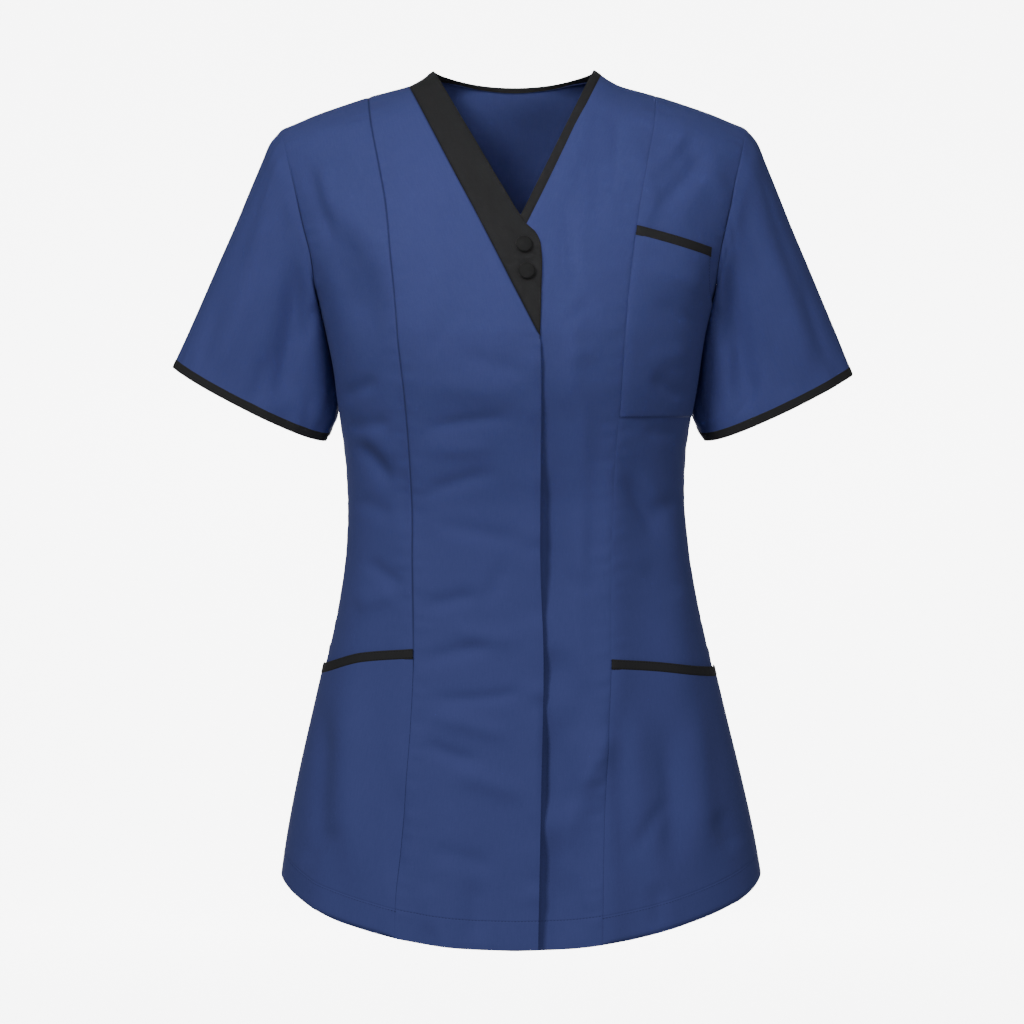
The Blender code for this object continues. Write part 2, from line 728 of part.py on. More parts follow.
# Mouths of the pockets: their upper edges by distance from the middle.
CHEST_MOUTH = Table("across z", [(96.0, -133.9), (164.0, -152.3)])
HIP_MOUTH_RIGHT = Table("across z", [(82.0, -483.7), (125.0, -488.7), (164.0, -503.0)])
HIP_MOUTH_LEFT = Table("across z", [(77.0, -491.7), (121.0, -496.2), (166.0, -504.0)])
MOUTH_BINDING = 8.3
POCKET_LIFT = 1.0
POCKET_WALL = 1.2
CHEST_BOTTOM = -293.4
CHEST_OUTER_COLUMN = 4.0
HEM_TURN = 3.0
ROW_MARGIN = 0.25
EDGE_STEPS = 3
MOUTH_START = 100.0
MOUTH_STEPS = 8


def mouth_row(panel, column, edge):
    """Fraction of the panel's rows where a column meets an edge given as z by distance."""
    z = edge(MOUTH_START)
    for _ in range(MOUTH_STEPS):
        row = panel.row_at_height(column, z)
        z = edge(abs(panel.at(column, row)[0][0]))
    return panel.row_at_height(column, z)


def lay_on(panel, upper, lower, last_column, lift):
    """Grid made from a panel's own points, moved out, between an upper and a lower edge."""
    places = list(range(math.ceil(last_column))) + [last_column]
    starts = [mouth_row(panel, column, upper) for column in places]
    ends = [mouth_row(panel, column, lower) for column in places]
    whole = range(math.ceil(max(starts) + ROW_MARGIN), math.ceil(min(ends) - ROW_MARGIN))
    points = []
    normals = []
    for start, end, column in zip(starts, ends, places):
        if len(whole) == 0:
            rows = [start, end]
        else:
            first, last = whole[0], whole[-1]
            rows = [start + (first - start) * k / EDGE_STEPS for k in range(EDGE_STEPS)]
            rows += list(whole)
            rows += [last + (end - last) * (k + 1) / 2 for k in range(2)]
        found = [panel.at(column, row) for row in rows]
        points.append([point + normal * lift for point, normal in found])
        normals.append([normal for _, normal in found])
    return Piece(np.swapaxes(points, 0, 1), np.swapaxes(normals, 0, 1))


def build_pocket(panel, mouth, bottom, last_column=SIDE_COLUMNS):
    """Pocket front and the binding along its mouth."""
    def edge(below):
        return lambda across: mouth.at("z", across) - below

    lift = POCKET_LIFT + POCKET_WALL
    pocket = lay_on(panel, edge(MOUTH_BINDING + SEAM_GAP), bottom, last_column, lift)
    binding = lay_on(panel, edge(0.0), edge(MOUTH_BINDING), last_column,
                     lift + BINDING_PROUD)
    return pocket, binding


# ---------------------------------------------------------------- meshes

def finish(name, colour, roughness):
    material = bpy.data.materials.new(name)
    material.use_nodes = True
    shader = material.node_tree.nodes["Principled BSDF"]
    shader.inputs["Base Color"].default_value = (*colour, 1.0)
    shader.inputs["Roughness"].default_value = roughness
    shader.inputs["Metallic"].default_value = 0.0
    material.diffuse_color = (*colour, 1.0)
    return material


def wall(name, piece, thickness, material, collection, proud=0.0, tube=False):
    """Closed mesh between a piece's outer points and the same points moved in."""
    outer = (piece.outer() + piece.normals * proud) * MM
    inner = outer - piece.normals * (thickness * MM)
    row_count, column_count = outer.shape[:2]
    bm = bmesh.new()
    faces = [[[bm.verts.new(point) for point in line] for line in grid]
             for grid in (outer, inner)]
    front, behind = faces
    last = column_count if tube else column_count - 1
    for i in range(row_count - 1):
        for j in range(last):
            k = (j + 1) % column_count
            bm.faces.new((front[i][j], front[i][k], front[i + 1][k], front[i + 1][j]))
            bm.faces.new((behind[i][j], behind[i + 1][j], behind[i + 1][k], behind[i][k]))
    for i in (0, row_count - 1):
        for j in range(last):
            k = (j + 1) % column_count
            bm.faces.new((front[i][j], behind[i][j], behind[i][k], front[i][k]))
    if not tube:
        for j in (0, column_count - 1):
            for i in range(row_count - 1):
                bm.faces.new((front[i][j], front[i + 1][j], behind[i + 1][j], behind[i][j]))
    bmesh.ops.recalc_face_normals(bm, faces=bm.faces)
    mesh = bpy.data.meshes.new(name)
    bm.to_mesh(mesh)
    bm.free()
    mesh.materials.append(material)
    mesh.shade_smooth()
    mesh.set_sharp_from_angle(angle=math.radians(40.0))
    item = bpy.data.objects.new(name, mesh)
    collection.objects.link(item)
    return item


# Covered buttons: places on the band and the turned profile.
BUTTONS = {"button_upper": (7.3, -151.5), "button_lower": (9.5, -173.3)}
BUTTON_RADIUS = 7.0
BUTTON_EDGE = 1.0
BUTTON_HEIGHT = 4.0
BUTTON_GAP = 0.5
BUTTON_STEPS = 20
DOME_STEPS = 5
MERGE_DISTANCE = 0.00001


def button(name, place, material, collection):
    """Domed button, a profile turned about the normal of the band."""
    dome = []
    for k in range(DOME_STEPS + 1):
        turn = 0.5 * math.pi * k / DOME_STEPS
        rise = BUTTON_EDGE + (BUTTON_HEIGHT - BUTTON_EDGE) * math.cos(turn)
        dome.append((BUTTON_RADIUS * math.sin(turn), rise))
    profile = dome + [(BUTTON_RADIUS, 0.0), (0.0, 0.0)]
    mesh = bpy.data.meshes.new(name)
    edges = [(k, k + 1) for k in range(len(profile) - 1)]
    mesh.from_pydata([(radius * MM, 0.0, rise * MM) for radius, rise in profile], edges, [])
    item = bpy.data.objects.new(name, mesh)
    turned = item.modifiers.new("turned", "SCREW")
    turned.steps = BUTTON_STEPS
    turned.render_steps = BUTTON_STEPS
    turned.use_merge_vertices = True
    turned.merge_threshold = MERGE_DISTANCE
    mesh.materials.append(material)
    point = body_point(place[0], place[1], FRONT)
    normal = body_normal(point, FRONT)
    item.location = (point + normal * (BINDING_PROUD + BUTTON_GAP)) * MM
    item.rotation_mode = "QUATERNION"
    item.rotation_quaternion = Vector(normal).to_track_quat("Z", "Y")
    collection.objects.link(item)
    return item


def clear_scene():
    for item in list(bpy.data.objects):
        bpy.data.objects.remove(item, do_unlink=True)


def build():
    clear_scene()
    collection = bpy.data.collections.new(COLLECTION_NAME)
    bpy.context.scene.collection.children.link(collection)
    blue = finish("cloth_blue", (0.05, 0.085, 0.24), 0.85)
    black = finish("trim_black", (0.02, 0.02, 0.021), 0.7)
    button_black = finish("button_black", (0.018, 0.018, 0.019), 0.6)

    fronts = build_fronts()
    neck_edge, neck_seam = neck_back_line()
    back = build_back(neck_seam)
    sleeves = {}
    for hand, name in ((RIGHT, "right"), (LEFT, "left")):
        sleeves[name] = build_sleeve(hand, fronts["front_side_" + name], back)
    band = build_band(fronts["front_centre_right"])
    neck_binding = build_neck_binding(neck_edge, neck_seam, fronts["front_centre_left"])

    below_arm = slice(UNDERARM_ROW, None)
    tip_rows = slice(0, TIP_ROW + 1)
    for name in ("right", "left"):
        side = fronts["front_side_" + name]
        centre = fronts["front_centre_" + name]
        side.stand_back(slice(None), 0, 1)
        side.stand_back(below_arm, -1, -2)
        centre.stand_back(slice(None), 0, 1)
        side.stand_back_top()
        centre.stand_back_top()
    fronts["front_centre_right"].stand_back(tip_rows, -1, -2)
    fronts["front_centre_left"].stand_back(slice(0, UNDERARM_ROW), -1, -2)
    back.stand_back(below_arm, 0, 1)
    back.stand_back(below_arm, -1, -2)
    back.stand_back_top()
    band.stand_back(slice(None), 0, 1)
    band.stand_back_top()
    neck_binding.stand_back(slice(None), 1, 0)

    for name, piece in fronts.items():
        wall(name, piece, CLOTH, blue, collection)
    wall("back", back, CLOTH, blue, collection)
    wall("neck_band", band, CLOTH, black, collection)
    wall("neck_binding", neck_binding, BINDING_WALL, black, collection, BINDING_PROUD)
    for name, (sleeve, binding) in sleeves.items():
        wall("sleeve_" + name, sleeve, CLOTH, blue, collection, tube=True)
        wall("sleeve_binding_" + name, binding, BINDING_WALL, black, collection,
             BINDING_PROUD, tube=True)

    pockets = {
        "pocket_chest": build_pocket(fronts["front_side_left"], CHEST_MOUTH,
                                     lambda across: CHEST_BOTTOM, CHEST_OUTER_COLUMN),
        "pocket_hip_right": build_pocket(fronts["front_side_right"], HIP_MOUTH_RIGHT,
                                         lambda across: hem_z(across) + HEM_TURN),
        "pocket_hip_left": build_pocket(fronts["front_side_left"], HIP_MOUTH_LEFT,
                                        lambda across: hem_z(across) + HEM_TURN),
    }
    for name, (pocket, binding) in pockets.items():
        wall(name, pocket, POCKET_WALL, blue, collection)
        wall(name + "_binding", binding, POCKET_WALL + BINDING_PROUD, black, collection)
    for name, place in BUTTONS.items():
        button(name, place, button_black, collection)


build()
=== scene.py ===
"""Looks of a beautician tunic, filled out as it is when it is worn.

The form of the cloth is worked out in millimetres from the garment's own sizes, in the
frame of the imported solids: +X is the wearer's left, +Y the back, +Z up, and the origin is
midway between the neck points. Each piece becomes a thin shell in metres with its seams,
creases, bindings and stitches.
"""

import logging
import math
from collections.abc import Callable, Iterable, Sequence
from dataclasses import dataclass, field, replace
from enum import Enum

import bmesh
import bpy
import numpy as np
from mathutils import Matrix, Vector

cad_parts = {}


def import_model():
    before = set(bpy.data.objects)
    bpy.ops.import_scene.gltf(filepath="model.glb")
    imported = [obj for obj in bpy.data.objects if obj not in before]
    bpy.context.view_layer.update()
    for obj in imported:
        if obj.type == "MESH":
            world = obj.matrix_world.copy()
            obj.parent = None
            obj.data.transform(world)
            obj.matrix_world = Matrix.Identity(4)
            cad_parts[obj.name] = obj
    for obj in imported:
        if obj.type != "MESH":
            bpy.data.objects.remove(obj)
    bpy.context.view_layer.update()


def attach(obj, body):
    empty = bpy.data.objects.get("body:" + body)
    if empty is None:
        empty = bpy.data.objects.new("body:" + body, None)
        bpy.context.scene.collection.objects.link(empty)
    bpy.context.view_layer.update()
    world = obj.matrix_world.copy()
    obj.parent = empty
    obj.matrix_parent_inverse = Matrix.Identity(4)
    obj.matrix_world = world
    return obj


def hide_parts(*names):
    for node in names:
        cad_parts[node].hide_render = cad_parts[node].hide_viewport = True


MM = 0.001
BODY_NAME = "root"
FAR = 500.0  # farther from an edge than any seam or hem shows
UNDERARM = (166.0, -197.0)  # x and z of the point below the arm
UNDERARM_REACH = 40.0
UNDERARM_LONG = 0.4  # share that a distance below the underarm counts
UNDERARM_LEVEL = 0.3  # share of the reach in which the cloth stays level
FAINT_SHARE = 0.8  # how much of a seam's depth a faint seam loses
SEAM_SHADOW_WIDTH = 1.6  # width of the painted shadow line along a seam
SEAM_DROP = 0.75  # how deep the cloth lies at a seam
SEAM_REACH = 2.2  # how far from the seam it starts to turn
EDGE_LINES = (0.4, 1.0, 1.9)  # distances of the extra lines of points beside an edge
PANEL_SPACING = 3.2  # distance between two rows of a panel's grid
HEM_TURN = 1.5  # how far above the hem a hip pocket ends
BINDING_PROUD = 0.3  # how far a binding stands out of the cloth
STRIP_LIMIT = 12.0  # cloth narrower than this is a binding
STRIP_TURN = 3.2  # what a binding turns in along its edges
STRIP_SHARES = (0.0, 0.08, 0.2, 0.5, 0.8, 0.92, 1.0)  # lines of points across a binding
FULL_TURN = 2.0 * math.pi

log = logging.getLogger("tunic")

Array = np.ndarray
Edge = Callable[[Array], Array]
Places = tuple[Array, Array]
Rows = Sequence[tuple[str, float]]
Triple = tuple[float, float, float]
Item = bpy.types.Object
Material = bpy.types.Material


class Side(Enum):
    """Front or back of the worn form, with its direction along Y."""

    FRONT = -1.0
    BACK = 1.0


class Hand(Enum):
    """The wearer's right or left, with its direction along X."""

    RIGHT = -1.0
    LEFT = 1.0

    @property
    def word(self) -> str:
        """The hand's name as the pieces use it."""
        return self.name.lower()


def linked(name: str, data: bpy.types.ID) -> Item:
    """Makes an object of some data and links it to the scene.

    Args:
        name: Name of the object.
        data: Its mesh, light or camera.

    Returns:
        The object.
    """
    item = bpy.data.objects.new(name, data)
    bpy.context.collection.objects.link(item)
    return item


# --- small geometry

def unit(vectors: Array) -> Array:
    """Vectors scaled to length one along their last axis."""
    size = np.linalg.norm(vectors, axis=-1, keepdims=True)
    return vectors / np.maximum(size, 1e-9)


def smooth_step(value: Array) -> Array:
    """A soft ramp from 0 to 1."""
    value = np.clip(value, 0.0, 1.0)
    return value * value * (3.0 - 2.0 * value)


class SizeTable:
    """Rows of sizes with named columns, read smoothly between the rows."""

    def __init__(self, columns: str, rows: Sequence[Sequence[float]]) -> None:
        """Keeps the rows in order of their first column.

        Args:
            columns: Names of the columns, the key first.
            rows: One row of numbers for each section.
        """
        ordered = np.array(sorted(rows), dtype=float)
        self.key = ordered[:, 0]
        self.curves = {}
        for index, name in enumerate(columns.split()[1:], start=1):
            values = ordered[:, index]
            self.curves[name] = (values, self._slopes(values))

    def _slopes(self, values: Array) -> Array:
        """Slopes that keep a curve from swinging past its own rows.

        Args:
            values: One column of the table.

        Returns:
            A slope for each row.
        """
        step = np.diff(self.key)
        rise = np.diff(values) / step
        slope = np.zeros_like(values)
        slope[0], slope[-1] = rise[0], rise[-1]
        for i in range(1, len(values) - 1):
            if rise[i - 1] * rise[i] > 0.0:
                before = 2.0 * step[i] + step[i - 1]
                after = step[i] + 2.0 * step[i - 1]
                slope[i] = (before + after) / (before / rise[i - 1] + after / rise[i])
        return slope

    def at(self, name: str, key: Array) -> Array:
        """Values of a column.

        Args:
            name: The column.
            key: Where to read it.

        Returns:
            One value for each key, held at the ends.
        """
        values, slope = self.curves[name]
        key = np.clip(np.asarray(key, dtype=float), self.key[0], self.key[-1])
        i = np.clip(np.searchsorted(self.key, key, side="right") - 1, 0, len(self.key) - 2)
        step = self.key[i + 1] - self.key[i]
        t = (key - self.key[i]) / step
        start = (1.0 + 2.0 * t) * (1.0 - t) ** 2 * values[i]
        start_slope = t * (1.0 - t) ** 2 * step * slope[i]
        end = t * t * (3.0 - 2.0 * t) * values[i + 1]
        end_slope = t * t * (t - 1.0) * step * slope[i + 1]
        return start + start_slope + end + end_slope


def size_table(columns: str, *rows: Sequence[float]) -> SizeTable:
    """A dataclass field that starts as a table of sizes."""
    return field(default_factory=lambda: SizeTable(columns, rows))


# --- the worn form

@dataclass(frozen=True)
class Crease:
    """A soft ridge or trough of the cloth along a line seen from the front.

    Sizes are in millimetres. A height below zero is a trough, bow bends the line
    sideways at its middle, and fade is the share of the line over which an end dies out.
    """

    side: Side
    start: tuple[float, float]
    end: tuple[float, float]
    half_width: float
    height: float
    bow: float = 0.0
    fade: float = 0.35
    steepness: float = 2.2

    def rise(self, x: Array, z: Array) -> Array:
        """Height of the crease over the form.

        Args:
            x: Places across.
            z: Their heights.

        Returns:
            The crease's height at each place.
        """
        run = np.array(self.end) - np.array(self.start)
        length = float(np.hypot(*run))
        across_axis = np.array([-run[1], run[0]]) / length
        from_x, from_z = x - self.start[0], z - self.start[1]
        along = (from_x * run[0] + from_z * run[1]) / length ** 2
        offset = from_x * across_axis[0] + from_z * across_axis[1]
        offset = offset - self.bow * 4.0 * along * (1.0 - along)
        ends = smooth_step(along / self.fade) * smooth_step((1.0 - along) / self.fade)
        return self.height * ends * np.exp(-(offset / self.half_width) ** 2 * self.steepness)


@dataclass
class WornForm:
    """The hollow form that the body of the tunic takes when it is worn.

    Rows of the cloth run from 0 at the shoulder over 1 at the underarm to 2 at the hem.
    """

    section_power: float = 2.3
    underarm_z: float = UNDERARM[1]
    shoulder_turn: float = 30.0
    shoulder_lean: float = -0.4
    hem_lean: float = 6.0
    hem_lean_from: float = 145.0
    hem_lean_reach: float = 50.0
    neck_point_set: float = 5.0
    shoulder_tip_set: float = 12.0
    neck_half: float = 68.5
    shoulder_tip: float = 197.0
    fold_fade_depth: float = 25.0
    slope_step: float = 0.05
    settle_steps: int = 12
    cross_steps: int = 40
    side_start: float = 150.0
    turn_share: float = 0.15
    turn_length: float = 65.0
    upper_length: float = 168.0
    lower_length: float = 530.0
    creases: tuple[Crease, ...] = ()
    body: SizeTable = size_table(
        "z half_width front back lean",
        (0, 222, 29, 50, -1.5), (-10, 221, 33, 56, -1.4),
        (-20, 220, 38, 58, -1.3), (-50, 216.5, 59, 70, -1),
        (-100, 207.5, 87, 90, -0.6), (-150, 190, 109, 100, -0.3),
        (-197, 166, 121, 101, 0), (-212, 160.5, 124, 100, 0),
        (-225, 157, 126, 99, 0), (-260, 151.2, 124, 95, 0),
        (-300, 147.2, 114, 89, 0), (-340, 143.5, 106, 84, 0.4),
        (-370, 142.5, 102, 82, 1), (-400, 144, 102, 85, 1.8),
        (-450, 151.8, 104, 93, 2.9), (-500, 163.4, 108, 104, 3.2),
        (-550, 175.5, 112, 114, 3.4), (-600, 187.3, 118, 119, 4),
        (-650, 197.6, 124, 122, 4.8), (-700, 205.6, 131, 127, 5.4),
        (-750, 213.6, 138, 131, 5.4))
    shoulder: SizeTable = size_table(
        "across z",
        (0, 20), (30, 14), (50, 7), (62, 3.5), (68.5, 0), (80, -8),
        (90, -13), (106, -17.5), (126, -23), (145, -29), (168, -37),
        (187, -45), (197, -49), (230, -64))
    armhole: SizeTable = size_table(
        "z front back",
        (-49, 197, 197), (-75, 190.5, 193), (-100, 184, 189),
        (-130, 177.5, 184.5), (-161, 170, 178), (-175, 167.5, 174),
        (-185, 166.5, 170), (-192, 166.3, 167.5), (-197, 166, 166))
    hem: SizeTable = size_table(
        "across z",
        (0, -728.7), (45, -727.2), (88, -722), (125, -714.5), (150, -708),
        (175, -698.5), (192, -690.5), (204, -682.5), (230, -670))

    def seam_set(self, x: Array, z: Array) -> Array:
        """How far back the seam plane lies, more so towards the shoulder's tip.

        Args:
            x: Places across.
            z: Their heights.

        Returns:
            The plane's place along Y.
        """
        across = (np.abs(x) - self.neck_half) / (self.shoulder_tip - self.neck_half)
        spread = self.shoulder_tip_set - self.neck_point_set
        at_shoulder = self.neck_point_set + spread * np.maximum(across, 0.0)
        return at_shoulder * smooth_step((z - self.underarm_z) / -self.underarm_z)

    def shoulder_z(self, x: Array) -> Array:
        """Height of the shoulder line."""
        return self.shoulder.at("z", np.abs(np.asarray(x) - self.shoulder_lean))

    def hem_z(self, x: Array) -> Array:
        """Height of the hem."""
        share = smooth_step((np.abs(x) - self.hem_lean_from) / self.hem_lean_reach)
        return self.hem.at("z", np.abs(x - self.hem_lean * share))

    def depth_squared(self, x: Array, z: Array, side: Side) -> Array:
        """Square of the form's depth in front of or behind its seam plane.

        Args:
            x: Places across.
            z: Their heights.
            side: Front or back.

        Returns:
            The squares, below zero outside the form.
        """
        depth = self.body.at("front" if side is Side.FRONT else "back", z)
        across = np.abs(x - self.body.at("lean", z)) / self.body.at("half_width", z)
        rest = 1.0 - across ** self.section_power
        section = np.sign(rest) * np.abs(rest) ** (2.0 / self.section_power)
        below = (self.shoulder_z(x) - z) / self.shoulder_turn
        turn = np.where(below >= 1.0, 1.0, 1.0 - (1.0 - below) ** 2)
        return depth * depth * section * turn

    def depth(self, x: Array, z: Array, side: Side) -> Array:
        """Depth of the form in front of or behind its seam plane."""
        return np.sqrt(np.maximum(self.depth_squared(x, z, side), 0.0))

    def smooth_points(self, x: Array, z: Array, side: Side) -> Array:
        """Points of the form without its creases."""
        y = self.seam_set(x, z) + side.value * self.depth(x, z, side)
        return np.stack([x, y, z], axis=-1)

    def away_from_side(self, x: Array, z: Array, side: Side) -> Array:
        """Ramp from 0 at the seam plane to 1 where creases have their full height."""
        return smooth_step(self.depth(x, z, side) / self.fold_fade_depth)

    def value(self, points: Array, side: Side) -> Array:
        """Zero on the form and growing outwards."""
        x, y, z = points[..., 0], points[..., 1], points[..., 2]
        return (y - self.seam_set(x, z)) ** 2 - self.depth_squared(x, z, side)

    def gradient(self, points: Array, side: Side) -> Array:
        """Slope of the form's value.

        Args:
            points: Where it is read.
            side: Front or back.

        Returns:
            The slopes along X, Y and Z.
        """
        slopes = []
        for shift in np.eye(3) * self.slope_step:
            ahead = self.value(points + shift, side)
            behind = self.value(points - shift, side)
            slopes.append((ahead - behind) / (2.0 * self.slope_step))
        return np.stack(slopes, axis=-1)

    def normals(self, points: Array, side: Side) -> Array:
        """Outward directions of the form."""
        return unit(self.gradient(points, side))

    def settle(self, points: Array, side: Side) -> Array:
        """Brings points onto the form by small steps along its gradient.

        Args:
            points: Points near the form.
            side: Front or back.

        Returns:
            The nearest points of the form.
        """
        for _ in range(self.settle_steps):
            gradient = self.gradient(points, side)
            size = np.maximum((gradient ** 2).sum(axis=-1), 1e-6)
            points = points - gradient * (self.value(points, side) / size)[..., None]
        return points

    def rise(self, x: Array, z: Array, side: Side) -> Array:
        """Height of all creases, fading out towards the seam plane.

        Args:
            x: Places across.
            z: Their heights.
            side: Front or back.

        Returns:
            The summed height at each place.
        """
        height = np.zeros_like(x)
        for crease in self.creases:
            if crease.side is side:
                height = height + crease.rise(x, z)
        return height * self.away_from_side(x, z, side)

    def row_z(self, x: Array, row: Array, top: Edge) -> Array:
        """Height of a row.

        Args:
            x: Places across.
            row: The rows.
            top: Height of row 0 by place across.

        Returns:
            The height at each place.
        """
        upper = (1.0 - row) * top(x) + row * self.underarm_z
        lower = self.underarm_z + (row - 1.0) * (self.hem_z(x) - self.underarm_z)
        return np.where(row <= 1.0, upper, lower)

    def on_row(self, edge: Edge, row: Array, top: Edge) -> Places:
        """Where an edge crosses rows.

        Args:
            edge: The edge, as x by height.
            row: The rows.
            top: Height of row 0 by place across.

        Returns:
            The places x and z.
        """
        z = self.row_z(edge(self.underarm_z * row), row, top)
        for _ in range(self.cross_steps):
            z = 0.5 * z + 0.5 * self.row_z(edge(z), row, top)
        return edge(z), z

    def side_edge(self, hand: Hand, side: Side) -> Edge:
        """Armhole seam above the underarm and side seam below it.

        Args:
            hand: The wearer's right or left.
            side: Front or back.

        Returns:
            The seam, as x by height.
        """
        name = side.name.lower()

        def edge(z: Array) -> Array:
            """Place of the seam across the form."""
            hole, seam = self.armhole.at(name, z), self.body.at("half_width", z)
            return self.body.at("lean", z) + hand.value * np.where(z > self.underarm_z, hole, seam)
        return edge

    def angle(self, x: Array, z: Array, hand: Hand) -> Array:
        """Angle of the section, zero at the side.

        Args:
            x: Places across.
            z: Their heights.
            hand: The side from which the angle counts.

        Returns:
            The angles in radians.
        """
        across = hand.value * (x - self.body.at("lean", z)) / self.body.at("half_width", z)
        across = np.clip(across, -1.0, 1.0)
        return np.arccos(np.sign(across) * np.abs(across) ** (self.section_power / 2.0))

    def at_angle(self, angle: Array, row: Array, hand: Hand, top: Edge) -> Places:
        """Places on rows where the section has the given angle.

        Args:
            angle: The angles, zero at the side.
            row: The rows.
            hand: The side from which the angle counts.
            top: Height of row 0 by place across.

        Returns:
            The places x and z.
        """
        share = np.cos(angle)
        across = np.sign(share) * np.abs(share) ** (2.0 / self.section_power)
        z = self.row_z(np.full_like(angle, hand.value * self.side_start), row, top)
        for _ in range(self.cross_steps):
            x = self.body.at("lean", z) + hand.value * self.body.at("half_width", z) * across
            z = 0.5 * z + 0.5 * self.row_z(x, row, top)
        x = self.body.at("lean", z) + hand.value * self.body.at("half_width", z) * across
        return x, z

    def dense_rows(self, spacing: float) -> Array:
        """Rows from the shoulder to the hem, about evenly spaced over the cloth.

        Args:
            spacing: Distance between two rows.

        Returns:
            The rows from 0 to 2.
        """
        turn_rows = round(self.turn_length / spacing)
        turn = np.linspace(0.0, 0.5 * math.pi, turn_rows + 1)
        turned = self.turn_share * (1.0 - np.cos(turn))
        upper = np.linspace(self.turn_share, 1.0, round(self.upper_length / spacing) + 1)
        lower = np.linspace(1.0, 2.0, round(self.lower_length / spacing) + 1)
        return np.concatenate([turned, upper[1:], lower[1:]])


# --- pieces as grids

@dataclass(frozen=True)
class Ripple:
    """Uneven small waves along a seam, as pulled up by its stitches.

    Sizes are in millimetres, and the seed changes where the waves fall. The seam itself
    stays still, so that the pieces on its two sides meet.
    """

    height: float = 0.6
    length: float = 17.0
    reach: float = 14.0
    still: float = 4.0
    seed: int = 1
    steady: float = 0.55

    def wave(self, along: Array) -> Array:
        """Waves of uneven length and height.

        Args:
            along: Distances along the seam.

        Returns:
            Values from -1 to 1.
        """
        picks = np.random.default_rng(self.seed).uniform(0.0, FULL_TURN, 5)
        turn = FULL_TURN * along / self.length
        # The odd shares keep the waves from repeating.
        bent = turn + 1.3 * np.sin(0.31 * turn + picks[0]) + 0.8 * np.sin(0.77 * turn + picks[1])
        swell = np.sin(0.23 * turn + picks[2]) * np.sin(0.41 * turn + picks[3])
        strength = self.steady + (1.0 - self.steady) * swell
        return strength * np.sin(bent + picks[4])


